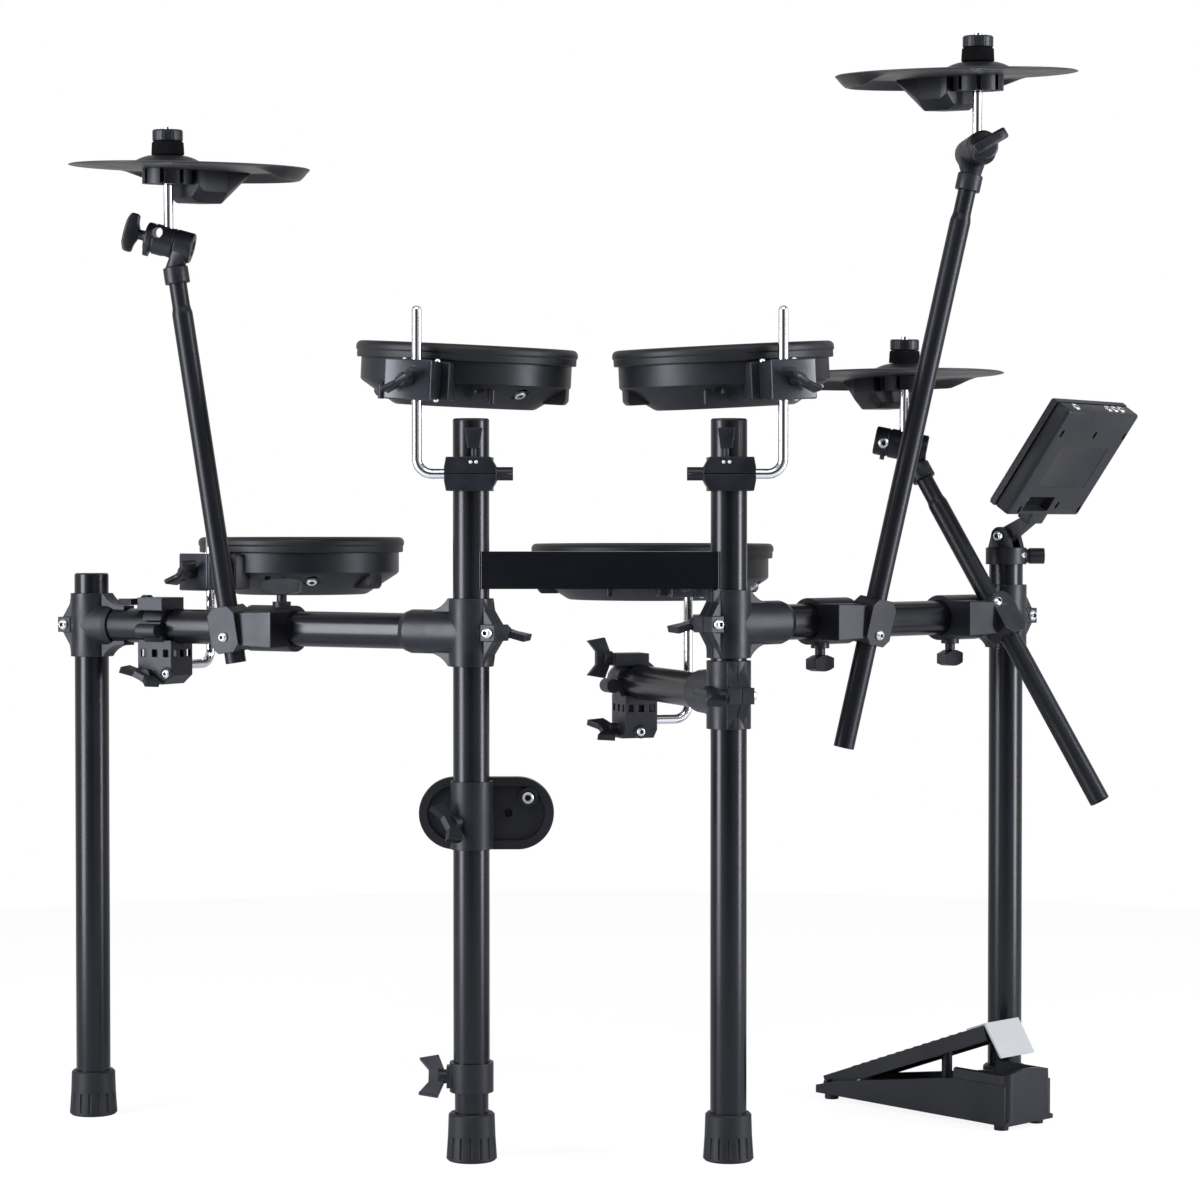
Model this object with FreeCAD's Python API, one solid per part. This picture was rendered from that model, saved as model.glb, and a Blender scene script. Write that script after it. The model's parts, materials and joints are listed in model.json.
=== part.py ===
import FreeCAD, Part
import math
import os

from FreeCAD import Placement, Rotation, Vector

# Electronic drum kit on a tube rack, in millimetres.
# The audience is on the -Y side, the drummer sits on the +Y side, Z is up from the floor.
# The ride side lies at -X and the hi-hat side at +X.

# Clearances
weld_gap = 0.1
clamp_gap = 0.15
running_gap = 0.3
swing_gap = 1.2

# Rack tubes
tube_d = 38.1
tube_wall = 1.2
inner_leg_x = 134.5
inner_leg_top = 773.0
cap_h = 3.0
cap_plug_h = 14.0
crossbar_z = 618.0
crossbar_h = 39.0
crossbar_depth = 32.0
crossbar_wall = 1.5

# Telescopic leg
extension_wall = 1.5
extension_overlap = 130.0
collar_z = 72.0
collar_h = 31.0
collar_wall = 4.0
collar_seat = 12.0
collar_ear_reach = 3.0
collar_ear_w = 14.0

# Feet
foot_h = 50.0
foot_sole = 8.0
foot_wall = 5.2
foot_flare = 2.3
flute_count = 16
flute_r = 2.0
flute_h = 26.0

# Arms and outer legs
ride_arm_angle = 150.0
ride_arm_span = 506.0
ride_arm_z = 553.0
ride_leg_rise = 55.0
hihat_arm_angle = 41.1
hihat_arm_span = 434.0
hihat_arm_z = 562.0
snare_arm_angle = 109.2
snare_arm_reach = 330.0
snare_arm_z = 488.0

# T joints
tee_h = 71.0
tee_wall = 4.0
tee_split = 0.8
tee_socket = 78.0
tee_short_socket = 36.0
tee_socket_lip = 6.0
tee_web_t = 18.0
tee_web_reach = 30.0
tee_ear_reach = 36.0
tee_ear_t = 20.0
tee_boss = 17.0
tee_boss_h = 4.0

# Wing bolts and T knobs
wing_span = 46.0
wing_reach = 20.0
wing_t = 7.0
wing_hub_d = 15.0
wing_hub_h = 9.0
knob_bar = 42.0
knob_bar_t = 12.0
knob_bar_h = 14.0
knob_neck_d = 11.0
knob_neck_h = 11.0

# Pads
tom_d = 238.0
snare_d = 288.0
hoop_h = 17.5
hoop_w = 13.0
hoop_round = 6.0
shell_inset = 6.0
shell_wall_h = 24.5
shell_taper_in = 36.0
shell_taper_h = 24.0
shell_t = 3.0
lug_count = 3
lug_first = 100.0
lug_step = 80.0
lug_w = 22.0
lug_h = 17.0
lug_in = 26.0
head_t = 1.2
head_drop = 3.0
sensor_base_d = 52.0
sensor_top_d = 28.0
jack_d = 11.0
jack_pocket_d = 19.0
jack_pocket_h = 4.0
jack_angle = 52.0
bracket_w = 44.0
bracket_h = 40.0
bracket_plate_w = 52.0
bracket_plate_t = 5.0
bracket_rod_out = 14.0
bracket_depth = 34.0
bracket_flange_w = 62.0

# Pad rods and their clamps
rod_d = 10.5
rod_bend = 16.0
tom_rod_z = 718.0
tom_rod_x = 189.4
tom_rod_top = 892.0
tom_rod_front = 27.0
tom_head_z = 857.0
tom_1_turn = 20.0
tom_2_turn = 25.0
tom_roll = 2.8
tom_pitch = 1.5
tom_clamp_h = 35.0
tom_clamp_w = 49.0
tom_clamp_wall = 4.5
tom_clamp_split = 0.3
tom_clamp_groove = 1.6
tom_stub_d = 14.0
tom_stub_h = 20.0
floor_tom_from_leg = 104.0
floor_tom_rod_out = 83.0
floor_tom_head_z = 651.0
floor_tom_turn = 45.0
floor_tom_rod_rise = 8.0
snare_from_end = 40.0
snare_rod_out = 65.0
snare_head_z = 643.0
snare_turn = -14.0
snare_rod_rise = -12.0
grip_drop = 44.0
grip_w = 46.0
grip_d = 38.0
grip_h = 40.0
grip_ring_w = 26.0
grip_ring_wall = 6.5
grip_top_w = 34.0
grip_top_h = 13.0
grip_slot_w = 7.0
grip_slot_h = 8.0
grip_slot_depth = 6.0
grip_slot_count = 3
grip_barrel_d = 16.0
grip_barrel_z = -4.5
grip_wing_rise = 27.0
grip_split = 1.6

# Cymbal stands
boom_d = 22.2
boom_wall = 1.5
boom_neck_d = 20.0
boom_neck_h = 22.0
boom_collar_d = 27.0
boom_collar_h = 18.0
boom_swage_h = 14.0
boom_front = 38.0
boom_block_w = 36.0
boom_block_d = 30.0
boom_block_h = 50.0
boom_ring_w = 58.0
boom_ring_wall = 6.0
boom_ring_back = 30.0
boom_knob_back = 10.0
boom_seat_d = 20.0
boom_seat_h = 4.0
tilter_r = 16.5
tilter_upper_w = 32.0
tilter_lower_w = 20.0
tilter_rod_in = 6.5
tilter_rod_below = 4.0
tilter_collar_in = -3.5
tilter_rise = 26.0
tilter_air = 2.0
cymbal_rise = 81.0
stud_d = 8.0
ride_boom_from_leg = 223.0
ride_boom_lean = Vector(-64, 0, 425)
ride_boom_below = 37.0
ride_boom_l = 431.0
crash_boom_along = 175.0
crash_boom_lean = Vector(132, 0, 602)
crash_boom_below = 139.0
crash_boom_l = 628.0
hihat_boom_from_leg = 53.5
hihat_boom_lean = Vector(-190, 112, 370)
hihat_boom_below = 233.0
hihat_boom_l = 431.0

# Cymbals
cymbal_d = 259.0
cymbal_offset = 29.0
cymbal_mid_t = 8.0
cymbal_edge_t = 3.0
cymbal_rim_w = 13.0
cymbal_rim_h = 12.0
bell_d = 78.0
bell_h = 8.0
bell_flat_d = 28.0
hub_d = 56.0
hub_h = 15.0
hub_recess_d = 26.0
hub_recess_h = 9.0
stud_hole_d = 12.6
housing_l = 84.0
housing_w = 62.0
housing_h = 34.0
housing_start = 12.0
felt_d = 36.0
felt_h = 13.0
felt_cone = 0.6
nut_d = 32.0
nut_h = 13.0
washer_d = 14.0
washer_h = 5.0
cymbal_pitch = 3.5
cymbal_droop = 1.5

# Kick pad
kick_z = 362.0
kick_x = 15.0
kick_l = 142.0
kick_h = 76.0
kick_t = 14.0
kick_rim = 9.0
kick_recess = 5.0
kick_collar_h = 71.0
kick_collar_wall = 2.6
kick_face_inset = 7.0
kick_face_t = 12.0
kick_boss_d = 20.0
kick_boss_h = 12.0
kick_boss_x = 44.0
kick_boss_z = 17.0

# Sound module
module_w = 162.0
module_l = 138.0
module_t = 29.0
module_front_t = 9.0
module_edge = 8.0
module_turn = 232.8
module_lean = 35.0
module_rise = 46.0
module_back = 10.7
module_window_w = 46.0
module_window_h = 18.0
module_window_depth = 1.5
module_board_t = 1.6
module_board_gap = 6.0
module_wall = 3.0
recess_depth = 2.0
dial_d = 30.0
dial_h = 11.0
dial_seat = 1.0
key_w = 16.0
key_h = 9.0
key_rise = 2.2
key_columns = 4
key_rows = 2
key_pitch_x = 24.0
key_pitch_y = 18.0
holder_d = 46.0
holder_above_tee = 23.0
holder_h = 19.0
holder_top = 3.0
holder_cheek_t = 8.0
holder_pivot_rise = 13.0
holder_pivot_r = 10.5
holder_pin_d = 8.0
holder_knob_d = 18.0
holder_knob_h = 17.0
tongue_t = 16.0
tongue_block_w = 34.0
tongue_block_h = 14.0

# Pedal
pedal_from_leg = Vector(-181.5, 90.7, 0)
pedal_angle = -47.0
pedal_l = 285.0
pedal_w = 80.0
pedal_foot_d = 16.0
pedal_foot_h = 6.0
pedal_plate_t = 5.0
pedal_wall_t = 4.0
pedal_wall_heel_h = 9.0
pedal_wall_toe_h = 44.0
pedal_box_l = 78.0
pedal_box_h = 60.0
pedal_box_crown = 5.0
pedal_box_wall = 5.0
pedal_hinge_x = 14.0
pedal_hinge_z = 19.0
pedal_board_w = 62.0
pedal_board_l = 247.0
pedal_board_t = 5.0
pedal_board_skirt = 17.0
pedal_board_slope = 20.0
pedal_toe_plate_t = 2.0
pedal_toe_plate_h = 40.0
pedal_toe_plate_lean = 12.0
pedal_pin_d = 6.0
pedal_plunger_x = 165.0
pedal_plunger_d = 12.0
pedal_cup_d = 32.0
pedal_cup_wall = 3.0
pedal_cup_h = 22.0
pedal_bumper_h = 6.0

# Values that follow from the sizes above
up = Vector(0, 0, 1)
tube_r = tube_d / 2
rod_r = rod_d / 2
boom_r = boom_d / 2
tee_r = tube_r + running_gap + tee_wall
extension_d = tube_d - 2 * tube_wall - 2 * clamp_gap
ride_leg_top = ride_arm_z + ride_leg_rise
hihat_leg_top = hihat_arm_z + tee_h / 2 + holder_above_tee + holder_h - holder_top
floor_tom_along = ride_arm_span - floor_tom_from_leg
snare_along = snare_arm_reach - snare_from_end
ride_boom_along = ride_arm_span - ride_boom_from_leg
hihat_boom_along = hihat_arm_span - hihat_boom_from_leg

nodes = {}


def add(name, *shapes):
    """Put the solids of these shapes in the node of that name."""
    for shape in shapes:
        nodes.setdefault(name, []).extend(shape.Solids)


def plan_direction(angle):
    """Level direction at a plan angle from +X."""
    return Vector(math.cos(math.radians(angle)), math.sin(math.radians(angle)), 0)


def frame_at(origin, z_axis, x_hint):
    """Placement at a point, with local Z along z_axis and local X as near x_hint as can be."""
    z = Vector(z_axis).normalize()
    y = z.cross(x_hint).normalize()
    x = y.cross(z)
    return Placement(origin, Rotation(x, y, z, "ZXY"))


def placed(shape, frame):
    """Copy of a shape in that frame."""
    return shape.transformed(frame.toMatrix(), True)


def cylinder(radius, start, end):
    """Round bar from one point to another."""
    return Part.makeCylinder(radius, start.distanceToPoint(end), start, end - start)


def tube(radius, wall, start, end):
    """Hollow tube from one point to another."""
    return cylinder(radius, start, end).cut(cylinder(radius - wall, start, end))


def block(x_range, y_range, z_range):
    """Box between three pairs of limits, given in any order."""
    low = Vector(min(x_range), min(y_range), min(z_range))
    high = Vector(max(x_range), max(y_range), max(z_range))
    size = high - low
    return Part.makeBox(size.x, size.y, size.z, low)


def path(start, *legs):
    """Closed outline in the XZ plane; a leg is an end point, or a middle and an end point of an arc."""
    first = Vector(start[0], 0, start[1])
    here = first
    edges = []
    for leg in legs:
        points = [Vector(x, 0, z) for x, z in leg]
        if len(points) == 1:
            edges.append(Part.LineSegment(here, points[0]).toShape())
        else:
            edges.append(Part.Arc(here, points[0], points[1]).toShape())
        here = points[-1]
    if here.distanceToPoint(first) > 0:
        edges.append(Part.LineSegment(here, first).toShape())
    return Part.Wire(edges)


def polygon(*points):
    """Closed outline of straight edges in the XZ plane."""
    return path(points[0], *[[point] for point in points[1:]])


def plate(outline, thickness):
    """Outline in the XZ plane, thickened equally both ways along Y."""
    face = Part.Face(outline)
    face.translate(Vector(0, -thickness / 2, 0))
    return face.extrude(Vector(0, thickness, 0))


def lathe(outline):
    """Outline in the XZ plane turned round the Z axis."""
    return Part.Face(outline).revolve(Vector(0, 0, 0), up, 360)


def bent_rod(radius, bend, start, corner, end):
    """Round rod along two runs at a right angle, with a rounded far end."""
    before = (start - corner).normalize()
    after = (end - corner).normalize()
    arc_start = corner + before * bend
    arc_end = corner + after * bend
    middle = corner + (before + after) * bend - (before + after).normalize() * bend
    last = end - after * radius
    route = Part.Wire([
        Part.LineSegment(start, arc_start).toShape(),
        Part.Arc(arc_start, middle, arc_end).toShape(),
        Part.LineSegment(arc_end, last).toShape(),
    ])
    section = Part.Wire(Part.makeCircle(radius, start, corner - start))
    rod = route.makePipeShell([section], True, False)
    return rod.fuse(Part.makeSphere(radius, last)).removeSplitter()


def wing_bolt():
    """Wing bolt head with its seat at zero, pointing out along local Z."""
    half = wing_span / 2
    hub_r = wing_hub_d / 2
    hub = cylinder(hub_r, Vector(0, 0, 0), Vector(0, 0, wing_hub_h))
    top = wing_hub_h + wing_reach / 2
    blade = plate(polygon(
        (-hub_r, wing_hub_h / 3), (-half, wing_hub_h), (-half + wing_t / 2, top + wing_reach / 2),
        (-hub_r, top), (hub_r, top),
        (half - wing_t / 2, top + wing_reach / 2), (half, wing_hub_h), (hub_r, wing_hub_h / 3),
    ), wing_t)
    return hub.fuse(blade).removeSplitter()


def t_knob():
    """T knob with its seat at zero, pointing out along local Z."""
    half = knob_bar / 2
    top = knob_neck_h + knob_bar_h
    neck = cylinder(knob_neck_d / 2, Vector(0, 0, 0), Vector(0, 0, knob_neck_h + knob_bar_h / 2))
    bar = plate(path(
        (-knob_neck_d / 2, knob_neck_h - knob_bar_h / 4), [(-half, knob_neck_h)], [(-half, top - knob_bar_h / 4)],
        [(0, top), (half, top - knob_bar_h / 4)], [(half, knob_neck_h)],
        [(knob_neck_d / 2, knob_neck_h - knob_bar_h / 4)],
    ), knob_bar_t)
    return neck.fuse(bar).removeSplitter()


def foot(axis):
    """Fluted rubber crutch tip round a tube that stands on its sole."""
    top_r = tube_r + foot_wall
    low_r = top_r + foot_flare
    body = lathe(path(
        (0, 0), [(low_r - 2, 0)], [(low_r, 2)], [(top_r + foot_flare / 3, foot_h / 2)], [(top_r, foot_h - 2)],
        [(top_r - 2, foot_h)], [(0, foot_h)],
    ))
    body = body.cut(cylinder(tube_r + weld_gap, Vector(0, 0, foot_sole), Vector(0, 0, foot_h)))
    flute = cylinder(flute_r, Vector(low_r + flute_r / 3, 0, foot_sole / 2), Vector(top_r + flute_r / 2, 0, flute_h))
    flutes = []
    for index in range(flute_count):
        turned = flute.copy()
        turned.rotate(Vector(0, 0, 0), up, 360 / flute_count * index)
        flutes.append(turned)
    return placed(body.cut(flutes), Placement(axis, Rotation()))


def tube_cap(top_centre):
    """Plug with a flange that closes a tube's upper end."""
    plug_r = tube_r - tube_wall - weld_gap
    cap = lathe(path(
        (0, -cap_plug_h), [(plug_r, -cap_plug_h)], [(plug_r, 0)], [(tube_r, 0)], [(tube_r, cap_h / 2)],
        [(tube_r - cap_h / 2, cap_h)], [(0, cap_h)],
    ))
    return placed(cap, Placement(top_centre, Rotation()))


def tee_joint(centre, arm_direction, socket_l, wing_side):
    """T joint as two half shells, split through the leg's and the arm's axes, and its wing nut."""
    half = tee_h / 2
    sleeve = cylinder(tee_r, Vector(0, 0, -half), Vector(0, 0, half))
    socket_r = tube_r + clamp_gap + tee_wall
    socket = lathe(path(
        (0, 0), [(socket_r, 0)], [(socket_r, socket_l - tee_socket_lip)],
        [(socket_r - tee_wall / 2, socket_l)], [(0, socket_l)],
    ))
    socket.rotate(Vector(0, 0, 0), Vector(0, 1, 0), 90)
    web_end = tee_r + tee_web_reach
    web_mid = (tee_r + tee_web_reach * 0.3, socket_r + (half - socket_r) * 0.3)
    web = plate(path(
        (0, half), [(tee_r, half)], [web_mid, (web_end, socket_r - 1)], [(web_end, 1 - socket_r)],
        [(web_mid[0], -web_mid[1]), (tee_r, -half)], [(0, -half)],
    ), tee_web_t)
    ear = plate(path(
        (0, half), [(2 - tee_r, half)], [(-tee_r, half * 0.65)], [(3 - tee_ear_reach, half * 0.25)],
        [(-tee_ear_reach, 0), (3 - tee_ear_reach, -half * 0.25)], [(-tee_r, -half * 0.65)],
        [(2 - tee_r, -half)], [(0, -half)],
    ), tee_ear_t)
    bolt_x = -(tube_r + tee_ear_reach) / 2 - 1
    boss_y = tee_ear_t / 2 + tee_boss_h
    boss = block((bolt_x - tee_boss / 2, bolt_x + tee_boss / 2), (-boss_y, boss_y), (-tee_boss / 2, tee_boss / 2))
    whole = sleeve.fuse([socket, web, ear, boss])
    whole = whole.cut(cylinder(tube_r + running_gap, Vector(0, 0, -half), Vector(0, 0, half)))
    far = tee_socket + tee_ear_reach
    whole = whole.cut(cylinder(tube_r + clamp_gap, Vector(0, 0, 0), Vector(far, 0, 0)))
    frame = frame_at(centre, up, arm_direction)
    wing_at = Vector(bolt_x, wing_side * boss_y, 0)
    wing = placed(wing_bolt(), frame_at(wing_at, Vector(0, wing_side, 0), Vector(1, 0, 0.3)))
    halves = [
        whole.common(block((-far, far), (tee_split / 2, far), (-far, far))),
        whole.common(block((-far, far), (-far, -tee_split / 2), (-far, far))),
    ]
    return [placed(solid, frame) for solid in halves + [wing]]


def arm_tube(leg_axis, direction, length, z):
    """Arm tube from just outside one leg along a direction."""
    start = leg_axis + direction * (tube_r + tee_wall) + up * z
    return tube(tube_r, tube_wall, start, leg_axis + direction * length + up * z)


def tom_clamp(leg_axis, side):
    """Two ring halves on an inner leg, with a bore for the level rod in front and a thumb screw above."""
    half_h = tom_clamp_h / 2
    ring_r = tube_r + tom_clamp_wall
    half_w = tom_clamp_w / 2
    front = tom_rod_front + rod_r + tom_clamp_wall
    ring = cylinder(ring_r, Vector(0, 0, -half_h), Vector(0, 0, half_h))
    nose = plate(polygon(
        (-half_w, half_h), (half_w - 3, half_h), (half_w + 3, half_h * 0.4), (half_w + 3, -half_h * 0.4),
        (half_w - 3, -half_h), (-half_w, -half_h), (-half_w - 2, -half_h * 0.4), (-half_w - 2, half_h * 0.4),
    ), front)
    nose.translate(Vector(0, -front / 2, 0))
    stub = cylinder(tom_stub_d / 2, Vector(half_w, -tom_rod_front, 0),
                    Vector(half_w + tom_stub_h, -tom_rod_front, 0))
    whole = ring.fuse([nose, stub])
    whole = whole.cut(cylinder(tube_r + clamp_gap, Vector(0, 0, -half_h), Vector(0, 0, half_h)))
    rod_end = half_w + tom_stub_h - tom_clamp_wall
    groove_z = tom_clamp_groove / 2
    whole = whole.cut(block((-2 * half_w, 2 * half_w), (-front, tom_clamp_groove - front), (-groove_z, groove_z)))
    whole = whole.cut(cylinder(rod_r + running_gap, Vector(-2 * half_w, -tom_rod_front, 0),
                               Vector(rod_end, -tom_rod_front, 0)))
    reach = 3 * tom_clamp_w
    upper = whole.common(block((-reach, reach), (-reach, reach), (tom_clamp_split / 2, half_h)))
    lower = whole.common(block((-reach, reach), (-reach, reach), (-half_h, -tom_clamp_split / 2)))
    screw = cylinder(3, Vector(0, 0, 0), Vector(0, 0, 12))
    grip = plate(polygon((-6, 9), (-9, 30), (9, 30), (6, 9)), 9)
    thumb = screw.fuse(grip).removeSplitter()
    thumb.translate(Vector(4, -(tube_r + front) / 2 - 1, half_h))
    frame = frame_at(leg_axis + up * tom_rod_z, up, Vector(1, 0, 0))
    solids = [upper, lower, thumb]
    if side > 0:
        mirror_plane = (Vector(0, 0, 0), Vector(1, 0, 0))
        solids = [solid.mirror(*mirror_plane) for solid in solids]
    return [placed(solid, frame) for solid in solids]


def grip_clamp(centre, arm_direction, rod_direction, wing_along_arm):
    """Ring on an arm with a rod grip below it, a top block and two wing bolts."""
    ring_r = tube_r + grip_ring_wall
    half_ring = grip_ring_w / 2
    half_w = grip_w / 2
    half_d = grip_d / 2
    low = -grip_drop - grip_h / 2
    ring = cylinder(ring_r, Vector(-half_ring, 0, 0), Vector(half_ring, 0, 0))
    top_half = grip_top_w / 2
    top_z = tube_r + grip_ring_wall + grip_top_h / 2
    top = block((-top_half, top_half), (-ring_r - 2, half_d * 0.6), (tube_r - 1, top_z))
    body = plate(polygon(
        (-half_w, -tube_r + 4), (half_w, -tube_r + 4), (half_w, low + 10), (half_w - 12, low), (-half_w + 8, low),
        (-half_w, low + 8),
    ), grip_d)
    barrel_y = -ring_r - grip_barrel_d / 4
    barrel = cylinder(grip_barrel_d / 2, Vector(-half_ring, barrel_y, grip_barrel_z),
                      Vector(half_ring, barrel_y, grip_barrel_z))
    whole = ring.fuse([top, body, barrel])
    whole = whole.cut(cylinder(tube_r + clamp_gap, Vector(-half_w, 0, 0), Vector(half_w, 0, 0)))
    whole = whole.cut(cylinder(rod_r + running_gap, Vector(0, -half_d + 4, -grip_drop), Vector(0, half_d, -grip_drop)))
    slot_z = (-ring_r, -ring_r - grip_slot_h)
    slots = []
    for index in range(grip_slot_count):
        share = (index - (grip_slot_count - 1) / 2) / grip_slot_count
        across_x = (share * grip_w - grip_slot_w / 2, share * grip_w + grip_slot_w / 2)
        across_y = (share * grip_d - grip_slot_w / 2, share * grip_d + grip_slot_w / 2)
        for face in (-1, 1):
            slots.append(block(across_x, (face * half_d, face * (half_d - grip_slot_depth)), slot_z))
            slots.append(block((face * half_w, face * (half_w - grip_slot_depth)), across_y, slot_z))
    whole = whole.cut(slots)
    split_z = grip_barrel_z + grip_barrel_d / 2 + grip_split
    whole = whole.cut(block((-half_w, half_w), (-2 * ring_r, -tube_r / 2), (split_z, split_z + grip_split)))
    if wing_along_arm:
        top_wing = frame_at(Vector(-top_half, -half_d / 4, grip_wing_rise), Vector(-1, 0, 0), Vector(0, 1, 0))
    else:
        top_wing = frame_at(Vector(0, -ring_r - 2, grip_wing_rise), Vector(0, -1, 0), Vector(0, 0, 1))
    low_wing_at = Vector(-wing_hub_d / 2, -half_d, low + wing_hub_d / 2 + 2)
    low_wing = frame_at(low_wing_at, Vector(0, -1, 0), Vector(1, 0, -0.4))
    wings = [placed(wing_bolt(), top_wing), placed(wing_bolt(), low_wing)]
    frame = Placement(centre, Rotation(arm_direction, rod_direction, up, "ZXY"))
    return [placed(solid, frame) for solid in [whole] + wings]


def pad_shell(diameter, tilted_rod):
    """Dish with lugs, bracket, wing bolt, sensor and socket; local origin at the head, bracket along +X."""
    radius = diameter / 2
    wall_r = radius - shell_inset
    wall_low = -hoop_h - shell_wall_h
    floor = wall_low - shell_taper_h
    floor_r = wall_r - shell_taper_in
    dish = lathe(polygon(
        (0, floor), (floor_r, floor), (wall_r, wall_low), (wall_r, -hoop_h - weld_gap),
        (wall_r - shell_t, -hoop_h - weld_gap), (wall_r - shell_t, wall_low + shell_t / 2),
        (floor_r - shell_t / 2, floor + shell_t), (0, floor + shell_t),
    ))
    lugs = []
    for index in range(lug_count):
        lug = block((wall_r - lug_in, wall_r - 1.5), (-lug_w / 2, lug_w / 2), (wall_low - lug_h, wall_low))
        lug.rotate(Vector(0, 0, 0), up, lug_first + lug_step * index)
        lugs.append(lug)
    inside = lathe(polygon(
        (0, 0), (wall_r - shell_t, 0), (wall_r - shell_t, wall_low + shell_t / 2),
        (floor_r - shell_t / 2, floor + shell_t), (0, floor + shell_t),
    ))
    slope = Vector(shell_taper_h, 0, -shell_taper_in).normalize()
    socket_at = Vector((wall_r + floor_r) / 2, 0, (wall_low + floor) / 2)
    pocket_floor = socket_at - slope * jack_pocket_h
    boss = cylinder(jack_pocket_d / 2 + shell_t, socket_at - slope * (jack_pocket_h + shell_t), socket_at)
    pocket = cylinder(jack_pocket_d / 2, pocket_floor, socket_at + slope * shell_taper_h)
    jack = cylinder(jack_d / 2, pocket_floor + slope * weld_gap, socket_at - slope * weld_gap)
    skin = lathe(polygon((0, floor), (floor_r, floor), (wall_r, wall_low), (wall_r, 0), (0, 0)))
    boss = boss.common(skin)
    for shape in (boss, pocket, jack):
        shape.rotate(Vector(0, 0, 0), up, jack_angle)
    dish = dish.fuse([lug.cut(inside) for lug in lugs] + [boss]).cut(pocket).removeSplitter()
    bracket_top = -hoop_h - 1.5
    bracket_low = bracket_top - bracket_h
    bracket_end = radius + bracket_depth
    body = block((radius - 2 * shell_inset, bracket_end), (-bracket_w / 2, bracket_w / 2), (bracket_low, bracket_top))
    plate_half = bracket_plate_w / 2
    face = block((bracket_end - 1, bracket_end + bracket_plate_t), (-plate_half, plate_half),
                 (bracket_low - 1, bracket_top + 1))
    flange_half = bracket_flange_w / 2
    flange = block((radius - 2 * shell_inset, radius - 1), (-flange_half, flange_half),
                   (bracket_low + 2, bracket_top - 1))
    bracket = body.fuse([face, flange]).cut(cylinder(wall_r + weld_gap, Vector(0, 0, floor), Vector(0, 0, 0)))
    rod_at = Vector(radius + bracket_rod_out, 0, (bracket_low + bracket_top) / 2)
    rod_run = tilted_rod * diameter
    bracket = bracket.cut(cylinder(rod_r + running_gap, rod_at - rod_run, rod_at + rod_run)).removeSplitter()
    bolt_at = Vector(bracket_end + bracket_plate_t, 0, rod_at.z)
    wing = placed(wing_bolt(), frame_at(bolt_at, Vector(1, 0, 0), Vector(0, 1, 0.7)))
    sensor_top = -head_drop - head_t - running_gap
    sensor = lathe(polygon(
        (0, floor + shell_t + weld_gap), (sensor_base_d / 2, floor + shell_t + weld_gap),
        (sensor_top_d / 2, sensor_top), (0, sensor_top),
    ))
    return [dish, bracket, wing, sensor, jack]


def pad_head(diameter):
    """Rim hoop and mesh head; local origin at the centre of the hoop's top."""
    radius = diameter / 2
    inner = radius - hoop_w
    lean = hoop_round * 0.293
    hoop = lathe(path(
        (inner, -hoop_h), [(radius, -hoop_h)], [(radius, -hoop_round)],
        [(radius - lean, -lean), (radius - hoop_round, 0)], [(inner + 3, 0)], [(inner, -head_drop)],
    ))
    disc_r = inner - weld_gap
    mesh = cylinder(disc_r, Vector(0, 0, -head_drop - head_t), Vector(0, 0, -head_drop))
    return [hoop, mesh]


def make_pad(name, diameter, rod_foot, rod_corner, rod_top, turn, head_z, pitch, roll):
    """One pad on the upright run of its rod; turn is the plan angle from the rod to the pad's centre."""
    reach = diameter / 2 + bracket_rod_out
    mid_drop = hoop_h + 1.5 + bracket_h / 2
    outward = plan_direction(turn + 180)
    tilt = Rotation(Vector(1, 0, 0), pitch).multiply(Rotation(Vector(0, 1, 0), roll))
    frame = Placement(Vector(), tilt.multiply(Rotation(outward, up.cross(outward), up, "ZXY")))
    rod_point = frame.multVec(Vector(reach, 0, -mid_drop))
    frame.Base = Vector(rod_corner.x, rod_corner.y, head_z - mid_drop) - rod_point
    local_up = frame.Rotation.inverted().multVec(up)
    add(name + "_shell", *[placed(solid, frame) for solid in pad_shell(diameter, local_up)])
    add(name + "_head", *[placed(solid, frame) for solid in pad_head(diameter)])
    add(name + "_rod", bent_rod(rod_r, rod_bend, rod_foot, rod_corner, rod_top))
    return frame


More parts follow.
